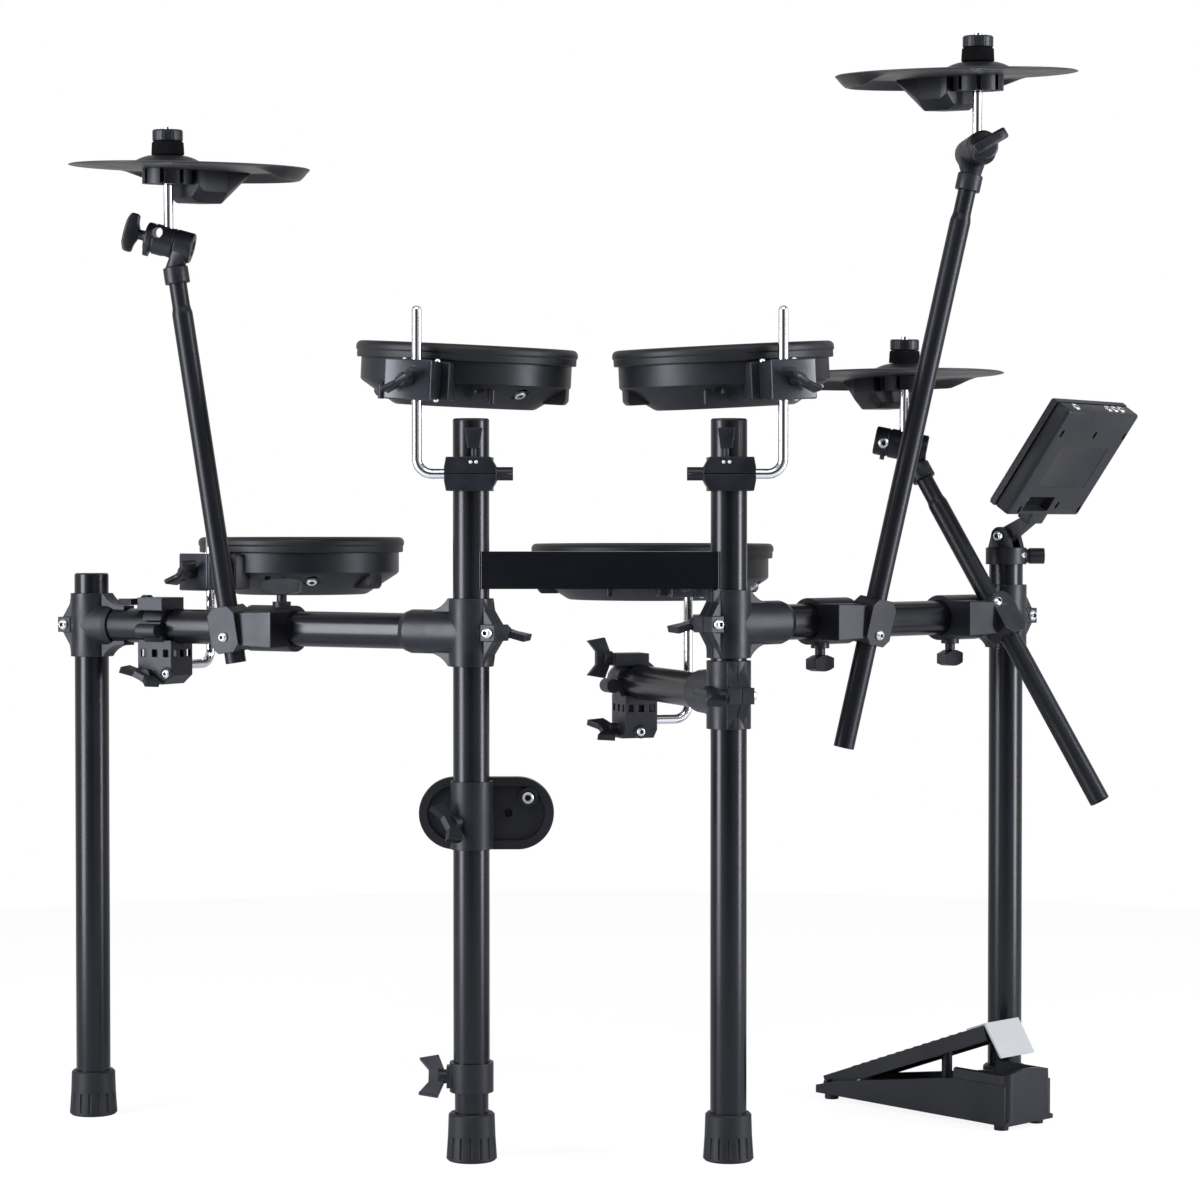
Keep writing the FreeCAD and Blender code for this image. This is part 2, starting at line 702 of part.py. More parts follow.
def boom_clamp(arm_axis, arm_direction, front, boom_at, boom_direction, knob_side):
    """Ring on an arm with a block in front that grips the boom, and a T knob."""
    ring_r = tube_r + boom_ring_wall
    half = boom_ring_w / 2
    ring_at = arm_axis - arm_direction * boom_ring_back
    ring = cylinder(ring_r, ring_at - arm_direction * half, ring_at + arm_direction * half)
    block_frame = frame_at(boom_at, boom_direction, arm_direction)
    half_w = boom_block_w / 2
    half_d = boom_block_d / 2
    half_h = boom_block_h / 2
    jaw = plate(polygon(
        (-half_w, half_h - 8), (-half_w + 8, half_h), (half_w - 8, half_h), (half_w, half_h - 8),
        (half_w, -half_h + 8), (half_w - 8, -half_h), (-half_w + 8, -half_h), (-half_w, -half_h + 8),
    ), boom_block_d)
    jaw = placed(jaw, block_frame)
    arm_frame = frame_at(ring_at, up, arm_direction)
    face = 1 if up.cross(arm_direction).dot(front) > 0 else -1
    bridge = plate(polygon(
        (-half, tube_r), (half, tube_r - 2), (boom_ring_back + half_w - 6, half_h - 12),
        (boom_ring_back + half_w - 6, -half_h + 12), (half, -tube_r + 2), (-half, -tube_r),
    ), boom_block_d - 8)
    bridge.translate(Vector(0, face * (boom_front - 2), 0))
    saddle = block((-half, half), (0, face * boom_front), (-tube_r, tube_r))
    pad_z = knob_side * (ring_r + boom_seat_h)
    seat = cylinder(boom_seat_d / 2, Vector(-boom_knob_back, 0, 0), Vector(-boom_knob_back, 0, pad_z))
    whole = jaw.fuse([ring] + [placed(solid, arm_frame) for solid in (bridge, saddle, seat)])
    whole = whole.cut(cylinder(tube_r + clamp_gap, ring_at - arm_direction * 100, ring_at + arm_direction * half))
    long_bore = arm_direction * 100
    whole = whole.cut(cylinder(tee_r + 2 * running_gap, ring_at + arm_direction * half, ring_at + long_bore))
    run = boom_direction * 100
    whole = whole.cut(cylinder(boom_r + running_gap, boom_at - run, boom_at + run)).removeSplitter()
    knob = placed(t_knob(), frame_at(Vector(-boom_knob_back, 0, pad_z), up * knob_side, Vector(1, 0.3, 0)))
    return [whole, placed(knob, arm_frame)]


def cymbal(frame):
    """Cymbal plate with bell and hub, and the sensor housing below; stud at the origin, playing side along +X."""
    radius = cymbal_d / 2
    plate_top = cymbal_mid_t / 2
    disc = lathe(path(
        (0, -plate_top), [(radius * 0.6, -plate_top + 1.2), (radius - 1, -1)], [(radius, 0.4)],
        [(radius - 1, cymbal_edge_t - 1)], [(radius * 0.6, plate_top - 0.4), (0, plate_top)],
    ))
    rim = lathe(polygon(
        (radius - cymbal_rim_w, -cymbal_rim_h * 0.3), (radius - cymbal_rim_w / 2, -cymbal_rim_h),
        (radius - 3, -cymbal_rim_h + 2), (radius - 0.6, 0), (radius - cymbal_rim_w, 0.5),
    ))
    rim = rim.common(block((0, radius), (-radius, radius), (-2 * cymbal_rim_h, cymbal_rim_h)))
    disc = disc.fuse(rim)
    disc.translate(Vector(cymbal_offset, 0, 0))
    bell_r = bell_d / 2
    bell_top = plate_top + bell_h
    bell = lathe(path((0, 0), [(bell_r, 0)], [(bell_r, plate_top - 1)],
                      [(bell_r * 0.66, plate_top + bell_h * 0.7), (bell_flat_d / 2, bell_top)], [(0, bell_top)]))
    hub = lathe(polygon((0, 0), (hub_d / 2, 0), (hub_d / 2 - 2, -hub_h - plate_top), (0, -hub_h - plate_top)))
    body = disc.fuse([bell, hub])
    seat_z = -hub_h - plate_top + hub_recess_h
    body = body.cut(cylinder(stud_hole_d / 2, Vector(0, 0, -3 * hub_h), Vector(0, 0, 3 * bell_top)))
    body = body.cut(cylinder(hub_recess_d / 2, Vector(0, 0, -3 * hub_h), Vector(0, 0, seat_z)))
    low = -plate_top - housing_h
    start = housing_start + hub_recess_d / 2 - 8
    end = start + housing_l
    wedge = plate(polygon(
        (start, -plate_top + 1), (start, low + 14), (start + 10, low), (start + housing_l * 0.5, low),
        (end, -plate_top - 3), (end, -1),
    ), housing_w)
    cutter = block((0, 2 * housing_l), (0, housing_w), (-housing_h, housing_h))
    cutter = placed(cutter, frame_at(Vector(start + housing_l * 0.3, housing_w / 2, low), Vector(0, 0.6, 1),
                                     Vector(1, -0.42, 0)))
    wedge = wedge.cut([cutter, cutter.mirror(Vector(0, 0, 0), Vector(0, 1, 0))])
    wedge = wedge.cut(body).Solids
    wedge = max(wedge, key=lambda solid: solid.Volume)
    return [placed(body, frame), placed(wedge, frame)]


def make_stand(name, arm_axis, front, boom_vector, boom_low, boom_length, knuckle, knob_out, knob_along, play_angle):
    """One cymbal with its boom, tilter, rod and fittings. Returns the points that its joints need."""
    boom_at = arm_axis + front * boom_front
    direction = Vector(boom_vector).normalize()
    bottom = boom_at - direction * boom_low
    top = bottom + direction * boom_length
    neck_start = top - direction * (boom_neck_h + boom_collar_h)
    collar_start = top - direction * boom_collar_h
    swage = Part.makeCone(boom_r, boom_neck_d / 2, boom_swage_h, neck_start, direction)
    neck = cylinder(boom_neck_d / 2, neck_start + direction * boom_swage_h, collar_start)
    stem = cylinder(boom_r, bottom, neck_start).fuse([swage, neck])
    stem = stem.cut(cylinder(boom_r - boom_wall, bottom, neck_start - direction * boom_wall))
    axis = Vector(knuckle).normalize()
    centre = top + direction * tilter_rise - axis * tilter_collar_in
    barrel = cylinder(tilter_r, centre + axis * running_gap, centre + axis * tilter_lower_w)
    collar = cylinder(boom_collar_d / 2, collar_start, top)
    shank = cylinder(boom_collar_d / 2 - 2, top, top + direction * tilter_rise)
    knuckle_low = barrel.fuse([collar, shank])
    far = 4 * tilter_r
    shadow = cylinder(tilter_r + tilter_air, centre + axis * running_gap, centre - axis * far)
    knuckle_low = knuckle_low.cut(shadow).removeSplitter()
    knuckle_low = max(knuckle_low.Solids, key=lambda solid: solid.Volume)
    add(name + "_boom", stem.removeSplitter(), knuckle_low)
    rod_at = centre - axis * tilter_rod_in
    upper = cylinder(tilter_r, centre, centre - axis * tilter_upper_w)
    lean = Rotation(Vector(1, 0, 0), cymbal_pitch)
    stud_axis = lean.multVec(up)
    upper = upper.cut(cylinder(rod_r + weld_gap, rod_at - stud_axis * far, rod_at + stud_axis * far)).removeSplitter()
    stud_at = rod_at + stud_axis * cymbal_rise
    frame = Placement(stud_at, lean.multiply(Rotation(up, play_angle)))
    droop = Placement(Vector(), Rotation(Vector(0, 1, 0), cymbal_droop))
    seat = -hub_h - cymbal_mid_t / 2 + hub_recess_h - swing_gap
    washer_low = seat - washer_h
    rod_low = -cymbal_rise - tilter_rod_below
    bell_top = cymbal_mid_t / 2 + bell_h
    felt_low = bell_top + swing_gap
    nut_low = felt_low + felt_h
    nut_top = nut_low + nut_h
    rod = cylinder(rod_r, up * rod_low, up * washer_low)
    rod = rod.fuse(cylinder(stud_d / 2, up * washer_low, up * (nut_top + 3)))
    add(name + "_rod", placed(rod.removeSplitter(), frame))
    stud_bore = cylinder(stud_d / 2 + weld_gap, up * -far, up * far)
    washer = cylinder(washer_d / 2, up * washer_low, up * seat)
    felt = lathe(polygon(
        (0, felt_low), (felt_d / 4, felt_low), (felt_d / 2, felt_low + felt_cone), (felt_d / 2 - 1, nut_low),
        (0, nut_low),
    ))
    nut = lathe(polygon((0, nut_low), (nut_d / 2 + 1, nut_low), (nut_d / 2, nut_low + 3), (nut_d / 2, nut_top - 2),
                        (nut_d / 2 - 2, nut_top), (0, nut_top)))
    fittings = [placed(solid.cut(stud_bore), frame) for solid in (washer, felt, nut)]
    knob_at = centre - axis * tilter_upper_w
    if knob_out.dot(axis) > -0.5:
        knob_at = centre - axis * (tilter_upper_w - knob_neck_d) + knob_out * (tilter_r - 1)
    knob = placed(t_knob(), frame_at(knob_at, knob_out, knob_along)).cut(upper)
    add(name + "_tilter", upper, knob, *fittings)
    add(name + "_cymbal", *cymbal(frame.multiply(droop)))
    return {
        "arm_axis": arm_axis, "boom_at": boom_at, "direction": direction, "centre": centre, "axis": axis,
        "stud": stud_at, "rock": frame.Rotation.multVec(Vector(0, 1, 0)),
    }


def stadium(length, height):
    """Outline with straight long sides and round ends, in the XZ plane."""
    r = height / 2
    flat = length / 2 - r
    return path((-flat, -r), [(flat, -r)], [(flat + r, 0), (flat, r)], [(-flat, r)], [(-flat - r, 0), (-flat, -r)])


def make_kick(leg_axis):
    """Kick pad on the ride side inner leg: back plate, half collar, knob, striking face."""
    at = leg_axis + up * kick_z
    collar_r = tube_r + running_gap + kick_collar_wall
    plate_front = tube_r + running_gap - kick_collar_wall
    back = plate_front + kick_t
    backing = plate(stadium(kick_l, kick_h), kick_t)
    backing.translate(Vector(kick_x, plate_front + kick_t / 2, 0))
    hollow = plate(stadium(kick_l - 2 * kick_rim, kick_h - 2 * kick_rim), kick_recess)
    hollow.translate(Vector(kick_x, plate_front + kick_recess / 2, 0))
    saddle = block((-collar_r, collar_r), (0, plate_front + kick_t - 1), (-kick_collar_h / 2, kick_collar_h / 2))
    boss_at = Vector(kick_x + kick_boss_x, plate_front + kick_t / 2, kick_boss_z)
    boss = cylinder(kick_boss_d / 2, boss_at, boss_at - Vector(0, kick_boss_h, 0))
    leg_bore = cylinder(tube_r + running_gap, Vector(0, 0, -kick_h), Vector(0, 0, kick_h))
    backing = backing.cut(hollow).fuse([saddle, boss]).cut(leg_bore).removeSplitter()
    jack = cylinder(jack_d / 2, boss_at - Vector(0, kick_boss_h + weld_gap, 0), boss_at - Vector(0, kick_boss_h + 4, 0))
    half = kick_collar_h / 2
    collar = cylinder(collar_r, Vector(0, 0, -half), Vector(0, 0, half)).cut(leg_bore)
    collar = collar.common(block((-kick_l, kick_l), (-kick_l, -weld_gap), (-half, half)))
    wing_at = Vector(-collar_r * 0.62, -collar_r * 0.74, -6)
    wing = placed(wing_bolt(), frame_at(wing_at, Vector(-0.62, -0.74, 0), Vector(-0.5, 0.3, 0.8)))
    wing = wing.cut(cylinder(collar_r + weld_gap, Vector(0, 0, -half), Vector(0, 0, half)))
    wing = max(wing.Solids, key=lambda solid: solid.Volume)
    face = plate(stadium(kick_l - 2 * kick_face_inset, kick_h - 2 * kick_face_inset), kick_face_t)
    face.translate(Vector(kick_x, back + weld_gap + kick_face_t / 2, 0))
    frame = Placement(at, Rotation())
    add("kick_mount", *[placed(solid, frame) for solid in (backing, collar, wing, jack)])
    add("kick_pad", placed(face, frame))


def make_module(leg_axis):
    """Sound module on its tilting holder. Returns its frame and its pivot."""
    across = plan_direction(module_turn)
    lean = math.radians(module_lean)
    module_up = up * math.cos(lean) + plan_direction(module_turn + 90) * math.sin(lean)
    normal = across.cross(module_up)
    pivot = leg_axis + up * (hihat_leg_top + holder_top + holder_pivot_rise)
    foot_edge = pivot + module_up * module_rise - normal * (module_back + module_t / 2)
    frame = Placement(foot_edge, Rotation(across, module_up, normal, "ZXY"))
    half_w = module_w / 2
    rear_t = module_t - module_front_t
    edge = module_edge
    rear = block((-half_w, half_w), (0, module_l), (0, rear_t - weld_gap))
    long_edges = [e for e in rear.Edges if abs(e.CenterOfMass.z) < 0.1]
    rear = rear.makeChamfer(edge / 2, long_edges)
    inside = block((-half_w + module_wall, half_w - module_wall), (module_wall, module_l - module_wall),
                   (2 * module_wall, rear_t))
    cuts = [inside]
    for sx in (-1, 1):
        for sy in (0.16, 0.84):
            spot = Vector(sx * half_w * 0.72, module_l * sy, 0)
            cuts.append(cylinder(5, spot, spot + up * recess_depth))
    cuts.append(block((-half_w * 0.5, half_w * 0.5), (module_l * 0.42, module_l * 0.72), (0, recess_depth / 2)))
    cuts.append(block((-half_w * 0.04, half_w * 0.6), (module_l * 0.05, module_l * 0.18), (0, 2 * recess_depth)))
    rear = rear.cut(cuts).removeSplitter()
    board_z = 2 * module_wall + module_board_gap
    board = block((-half_w + 2 * module_wall, half_w - 2 * module_wall),
                  (2 * module_wall, module_l - 2 * module_wall), (board_z, board_z + module_board_t))
    posts = []
    for sx in (-1, 1):
        for sy in (-1, 1):
            spot = Vector(sx * half_w * 0.8, module_l * (0.5 + 0.38 * sy), 2 * module_wall - 0.5)
            posts.append(cylinder(3, spot, spot + up * (module_board_gap + 0.5 - weld_gap)))
    local_pivot = frame.inverse().multVec(pivot)
    neck_w = holder_pivot_r * 0.9
    lug = cylinder(holder_pivot_r * 0.86, Vector(-tongue_t / 2, local_pivot.y, local_pivot.z),
                   Vector(tongue_t / 2, local_pivot.y, local_pivot.z))
    toward = Vector(0, 3, module_t * 0.42)
    run = toward - Vector(0, local_pivot.y, local_pivot.z)
    neck = placed(block((-neck_w / 2, neck_w / 2), (-tongue_t / 2, tongue_t / 2), (0, run.Length)),
                  frame_at(Vector(0, local_pivot.y, local_pivot.z), run, Vector(0, run.z, -run.y)))
    collar = block((-tongue_block_w / 2, tongue_block_w / 2), (-tongue_block_h, module_wall),
                   (module_wall, rear_t - 1))
    tongue = lug.fuse([neck, collar]).cut(cylinder(holder_pin_d / 2 + running_gap,
                                         Vector(-tongue_t, local_pivot.y, local_pivot.z),
                                         Vector(tongue_t, local_pivot.y, local_pivot.z)))
    tongue = tongue.cut(block((-half_w, half_w), (module_wall, module_l), (0, module_t)))
    rear = rear.fuse(posts + [tongue]).removeSplitter()
    add("module_rear_case", placed(rear, frame), placed(board, frame))
    front = block((-half_w, half_w), (0, module_l), (rear_t, module_t))
    front = front.makeChamfer(edge / 3, [e for e in front.Edges if abs(e.CenterOfMass.z - module_t) < 0.1])
    window = block((-half_w * 0.2, -half_w * 0.2 + module_window_w),
                   (module_l * 0.62, module_l * 0.62 + module_window_h), (module_t - module_window_depth, module_t))
    dial_at = Vector(half_w * 0.62, module_l * 0.66, module_t)
    front = front.cut(window)
    add("module_front_panel", placed(front, frame))
    dial = lathe(path((0, dial_seat), [(dial_d / 2, dial_seat)], [(dial_d / 2 - 1.5, dial_h - 2)],
                      [(dial_d / 2 - 3.5, dial_h)], [(0, dial_h - 1.5)]))
    stem = cylinder(3, Vector(0, 0, running_gap), Vector(0, 0, dial_seat + 1))
    dial = dial.fuse(stem).removeSplitter()
    dial.translate(dial_at)
    add("module_dial", placed(dial, frame))
    keys = []
    for column in range(key_columns):
        for row in range(key_rows):
            key = block((-key_w / 2, key_w / 2), (-key_h / 2, key_h / 2), (0, key_rise))
            key.translate(Vector((column - (key_columns - 1) / 2) * key_pitch_x - 10,
                                 module_l * 0.2 + row * key_pitch_y, module_t))
            keys.append(placed(key, frame))
    add("module_keys", *keys)
    low = leg_axis + up * (hihat_leg_top + holder_top - holder_h)
    shoulder = leg_axis + up * (hihat_leg_top + holder_top)
    socket = cylinder(holder_d / 2, low, shoulder)
    socket = socket.cut(cylinder(tube_r + running_gap, low, leg_axis + up * hihat_leg_top))
    cheek_frame = Placement(shoulder, Rotation(across.cross(up), across, up, "ZXY"))
    rise = holder_pivot_rise
    r = holder_pivot_r
    cheek_outline = path((-r - 4, -1), [(-r, rise)], [(0, rise + r), (r, rise)], [(r + 4, -1)])
    inner = tongue_t / 2 + running_gap
    cheeks = []
    for face in (-1, 1):
        cheek = plate(cheek_outline, holder_cheek_t)
        cheek.translate(Vector(0, face * (inner + holder_cheek_t / 2), 0))
        cheeks.append(cheek)
    pin_end = inner + holder_cheek_t + 2
    cheeks.append(cylinder(holder_pin_d / 2, Vector(0, -pin_end, rise), Vector(0, pin_end, rise)))
    holder = socket.fuse([placed(cheek, cheek_frame) for cheek in cheeks]).removeSplitter()
    knob_at = low + up * (holder_h / 2) + Vector(holder_d / 2 - 1, 0, 0)
    boss = cylinder(8, knob_at - Vector(4, 0, 0), knob_at + Vector(4, 0, 0))
    boss = boss.cut(cylinder(holder_d / 2 - 2, low, shoulder))
    holder = holder.fuse(boss).removeSplitter()
    knob = cylinder(holder_knob_d / 2, knob_at + Vector(4 + weld_gap, 0, 0),
                    knob_at + Vector(4 + holder_knob_h, 0, 0))
    add("module_holder", holder, knob)
    return frame, pivot, across, dial_at, normal


def make_pedal():
    """Hi-hat pedal: base, footboard on its heel pin, toe plate and rubber sensor pad."""
    toe = plan_direction(pedal_angle)
    frame = frame_at(hihat_outer + pedal_from_leg, up, toe)
    half = pedal_w / 2
    low = pedal_foot_h
    deck = low + pedal_plate_t
    box_start = pedal_l - pedal_box_l
    floor_plate = block((0, pedal_l), (-half, half), (low, deck))
    wall = plate(polygon((0, low), (pedal_l - 4, low), (pedal_l - 4, low + pedal_wall_toe_h),
                         (box_start, low + pedal_wall_toe_h), (pedal_hinge_x + 16, low + pedal_wall_heel_h + 8),
                         (0, low + pedal_wall_heel_h)), pedal_wall_t)
    walls = []
    for face in (-1, 1):
        side = wall.copy()
        side.translate(Vector(0, face * (half - pedal_wall_t / 2), 0))
        walls.append(side)
    box_top = low + pedal_box_h
    crown = plate(path((-half, low), [(half, low)], [(half - 2, box_top - pedal_box_crown)],
                       [(0, box_top), (2 - half, box_top - pedal_box_crown)]), pedal_box_l)
    crown = placed(crown, Placement(Vector(box_start + pedal_box_l / 2, 0, 0), Rotation(up, 90)))
    corner_edges = [e for e in crown.Edges if e.BoundBox.ZLength > pedal_box_h / 2 and e.CenterOfMass.x > pedal_l - 1]
    crown = crown.makeFillet(10, corner_edges)
    slot_half = pedal_board_w / 2 + 3
    slot = block((box_start - 1, pedal_l - pedal_box_wall), (-slot_half, slot_half), (deck, 2 * box_top))
    pin_z = pedal_hinge_z
    cup_at = Vector(pedal_plunger_x, 0, deck - 0.5)
    cup_top = cup_at + up * pedal_cup_h
    cup = cylinder(pedal_cup_d / 2, cup_at, cup_top)
    base = floor_plate.fuse(walls + [crown.cut(slot), cup])
    base = base.cut(cylinder(pedal_cup_d / 2 - pedal_cup_wall, Vector(pedal_plunger_x, 0, deck), cup_top))
    pin = cylinder(pedal_pin_d / 2, Vector(pedal_hinge_x, -half + 1, pin_z), Vector(pedal_hinge_x, half - 1, pin_z))
    base = base.fuse(pin).removeSplitter()
    feet = []
    for x in (pedal_foot_d, pedal_l - pedal_foot_d):
        for face in (-1, 1):
            spot = Vector(x, face * (half - pedal_foot_d / 2 - 2), 0)
            feet.append(cylinder(pedal_foot_d / 2, spot, spot + up * pedal_foot_h))
    add("pedal_base", placed(base, frame), *[placed(item, frame) for item in feet])
    bumper_low = Vector(pedal_plunger_x, 0, deck)
    bumper = cylinder(pedal_cup_d / 2 - pedal_cup_wall - running_gap, bumper_low, bumper_low + up * pedal_bumper_h)
    add("pedal_bumper", placed(bumper, frame))
    board_half = pedal_board_w / 2
    top = pedal_pin_d / 2 + 6
    skin = block((-8, pedal_board_l), (-board_half, board_half), (top - pedal_board_t, top))
    skirt_outline = polygon((-8, top), (-8, top - 8), (0, -pedal_pin_d / 2 - 4), (14, -pedal_pin_d / 2 - 2),
                            (50, top - pedal_board_skirt), (pedal_board_l, top - pedal_board_skirt),
                            (pedal_board_l, top))
    skirts = []
    for face in (-1, 1):
        skirt = plate(skirt_outline, 4)
        skirt.translate(Vector(0, face * (board_half - 2), 0))
        skirts.append(skirt)
    hinge_at = Vector(pedal_hinge_x, 0, pin_z)
    board_frame = Placement(hinge_at, Rotation(Vector(0, 1, 0), -pedal_board_slope))
    board = skin.fuse(skirts)
    board = board.cut(cylinder(pedal_pin_d / 2 + running_gap, Vector(0, -half, 0), Vector(0, half, 0)))
    board = placed(board, board_frame)
    underside = board_frame.multVec(Vector(pedal_plunger_x - pedal_hinge_x, 0, top - pedal_board_t / 2))
    plunger_low = deck + pedal_bumper_h + 21
    plunger = cylinder(pedal_plunger_d / 2, Vector(pedal_plunger_x, 0, plunger_low),
                       Vector(pedal_plunger_x, 0, underside.z))
    plunger = plunger.cut(placed(block((0, pedal_board_l), (-half, half), (top - pedal_board_t, 4 * top)), board_frame))
    board = board.fuse(plunger).removeSplitter()
    add("pedal_footboard", placed(board, frame))
    end = pedal_board_l + weld_gap
    lean = pedal_toe_plate_lean
    t = pedal_toe_plate_t
    low_end = top - pedal_toe_plate_h
    bent = plate(polygon((end - 26, top + weld_gap), (end - 26, top + t), (end + t, top + t),
                         (end + lean, low_end), (end + lean - t, low_end), (end, top + weld_gap)), pedal_board_w - 4)
    add("pedal_toe_plate", placed(placed(bent, board_frame), frame))
    return frame, hinge_at


def pad_rods_on_leg(side):
    """End, corner and top of a tom's rod, level in front of an inner leg and then upright."""
    inboard = inner_leg_x - tom_clamp_w / 2 - tom_stub_h + tom_clamp_wall + 1
    foot_point = Vector(side * inboard, -tom_rod_front, tom_rod_z)
    corner = Vector(side * tom_rod_x, -tom_rod_front, tom_rod_z)
    return foot_point, corner, Vector(corner.x, corner.y, tom_rod_top)


def pad_rods_on_arm(centre, direction, out, top_z):
    """End, corner and top of a rod that leaves its grip level and then stands upright."""
    start = centre - up * grip_drop - direction * (grip_d / 2 - 5)
    corner = centre - up * grip_drop + direction * out
    return start, corner, Vector(corner.x, corner.y, top_z)


# Where the legs stand
ride_inner = Vector(-inner_leg_x, 0, 0)
hihat_inner = Vector(inner_leg_x, 0, 0)
ride_direction = plan_direction(ride_arm_angle)
hihat_direction = plan_direction(hihat_arm_angle)
snare_direction = plan_direction(snare_arm_angle)
ride_outer = ride_inner + ride_direction * ride_arm_span
hihat_outer = hihat_inner + hihat_direction * hihat_arm_span

# Centre frame
leg_low = up * (foot_sole + weld_gap)
upper_low = up * (collar_z + collar_seat)
add("ride_inner_leg", tube(tube_r, tube_wall, ride_inner + upper_low, ride_inner + up * inner_leg_top))
add("hihat_inner_leg", tube(tube_r, tube_wall, hihat_inner + leg_low, hihat_inner + up * inner_leg_top))
bar_half = Vector(inner_leg_x, crossbar_depth / 2, crossbar_h / 2)
bar = block((-bar_half.x, bar_half.x), (-bar_half.y, bar_half.y), (crossbar_z - bar_half.z, crossbar_z + bar_half.z))
bar_inside = bar_half - Vector(0, crossbar_wall, crossbar_wall)
bar = bar.cut(block((-bar_inside.x, bar_inside.x), (-bar_inside.y, bar_inside.y),
                    (crossbar_z - bar_inside.z, crossbar_z + bar_inside.z)))
for leg in (ride_inner, hihat_inner):
    bar = bar.cut(cylinder(tube_r + weld_gap, leg, leg + up * inner_leg_top))
add("crossbar", bar)
add("inner_leg_caps", tube_cap(ride_inner + up * inner_leg_top), tube_cap(hihat_inner + up * inner_leg_top))
add("hihat_inner_foot", foot(hihat_inner))
add("tom_clamps", *tom_clamp(ride_inner, -1), *tom_clamp(hihat_inner, 1))

# Telescopic leg with its split collar
collar_r = tube_r + collar_wall
collar_mid = collar_z + collar_h / 2
collar = cylinder(collar_r, ride_inner + up * collar_z, ride_inner + up * (collar_z + collar_h))
ear_end = -inner_leg_x - collar_r - collar_ear_reach
ear = block((ear_end, -inner_leg_x), (-collar_ear_w / 2, collar_ear_w / 2), (collar_z + 4, collar_z + collar_h - 4))
collar = collar.fuse(ear)
collar = collar.cut(cylinder(tube_r + clamp_gap, ride_inner + upper_low, ride_inner + up * (collar_z + collar_h)))
collar = collar.cut(cylinder(extension_d / 2 + running_gap, ride_inner, ride_inner + upper_low))
collar = collar.cut(block((ear_end, -inner_leg_x - extension_d / 2), (-1, 1), (collar_z, collar_z + collar_h)))
collar_wing = placed(wing_bolt(), frame_at(Vector(ear_end, 0, collar_mid), Vector(-1, 0, 0), Vector(0, 0.5, 0.8)))
add("leg_collar", collar.removeSplitter(), collar_wing)
extension_top = ride_inner + up * (collar_z + extension_overlap)
extension_low = ride_inner + up * foot_sole
extension = tube(extension_d / 2, extension_wall, extension_low + up * weld_gap, extension_top)
add("leg_extension", extension)
bush = tube(tube_r, (tube_d - extension_d) / 2 - weld_gap, extension_low + up * weld_gap,
            ride_inner + up * foot_h)
add("ride_inner_foot", foot(ride_inner), bush)

# Ride side arm and outer leg
add("ride_tee", *tee_joint(ride_inner + up * ride_arm_z, ride_direction, tee_socket, -1))
add("ride_arm", arm_tube(ride_inner, ride_direction, ride_arm_span - tube_r - tee_wall, ride_arm_z))
add("ride_outer_tee", *tee_joint(ride_outer + up * ride_arm_z, ride_direction * -1, tee_short_socket, 1))
add("ride_outer_leg", tube(tube_r, tube_wall, ride_outer + leg_low, ride_outer + up * ride_leg_top),
    tube_cap(ride_outer + up * ride_leg_top))
add("ride_outer_foot", foot(ride_outer))

# Hi-hat side arm and outer leg
add("hihat_tee", *tee_joint(hihat_inner + up * hihat_arm_z, hihat_direction, tee_socket, 1))
add("hihat_arm", arm_tube(hihat_inner, hihat_direction, hihat_arm_span - tube_r - tee_wall, hihat_arm_z))
add("hihat_outer_tee", *tee_joint(hihat_outer + up * hihat_arm_z, hihat_direction * -1, tee_short_socket, -1))
add("hihat_outer_leg", tube(tube_r, tube_wall, hihat_outer + leg_low, hihat_outer + up * hihat_leg_top))
add("hihat_outer_foot", foot(hihat_outer))

# Snare arm
add("snare_tee", *tee_joint(hihat_inner + up * snare_arm_z, snare_direction, tee_socket, 1))
add("snare_arm", arm_tube(hihat_inner, snare_direction, snare_arm_reach, snare_arm_z))

# Pads on the inner legs
tom_1_rod = pad_rods_on_leg(-1)
tom_1_frame = make_pad("tom_1", tom_d, *tom_1_rod, 90 - tom_1_turn, tom_head_z, tom_pitch, tom_roll)
tom_2_rod = pad_rods_on_leg(1)
tom_2_frame = make_pad("tom_2", tom_d, *tom_2_rod, 90 + tom_2_turn, tom_head_z, tom_pitch, -tom_roll)

# Pads on the arms
floor_tom_out = plan_direction(ride_arm_angle - 90)
floor_tom_centre = ride_inner + ride_direction * floor_tom_along + up * ride_arm_z
add("floor_tom_clamp", *grip_clamp(floor_tom_centre, ride_direction * -1, floor_tom_out, True))
floor_tom_rod = pad_rods_on_arm(floor_tom_centre, floor_tom_out, floor_tom_rod_out,
                                floor_tom_head_z + floor_tom_rod_rise)
floor_tom_frame = make_pad("floor_tom", tom_d, *floor_tom_rod, 90 - floor_tom_turn, floor_tom_head_z, 0, 0)
snare_out = plan_direction(snare_arm_angle - 90)
snare_centre = hihat_inner + snare_direction * snare_along + up * snare_arm_z
add("snare_clamp", *grip_clamp(snare_centre, snare_direction * -1, snare_out, False))
snare_rod = pad_rods_on_arm(snare_centre, snare_out, snare_rod_out, snare_head_z + snare_rod_rise)
snare_frame = make_pad("snare", snare_d, *snare_rod, 90 - snare_turn, snare_head_z, 0, 0)

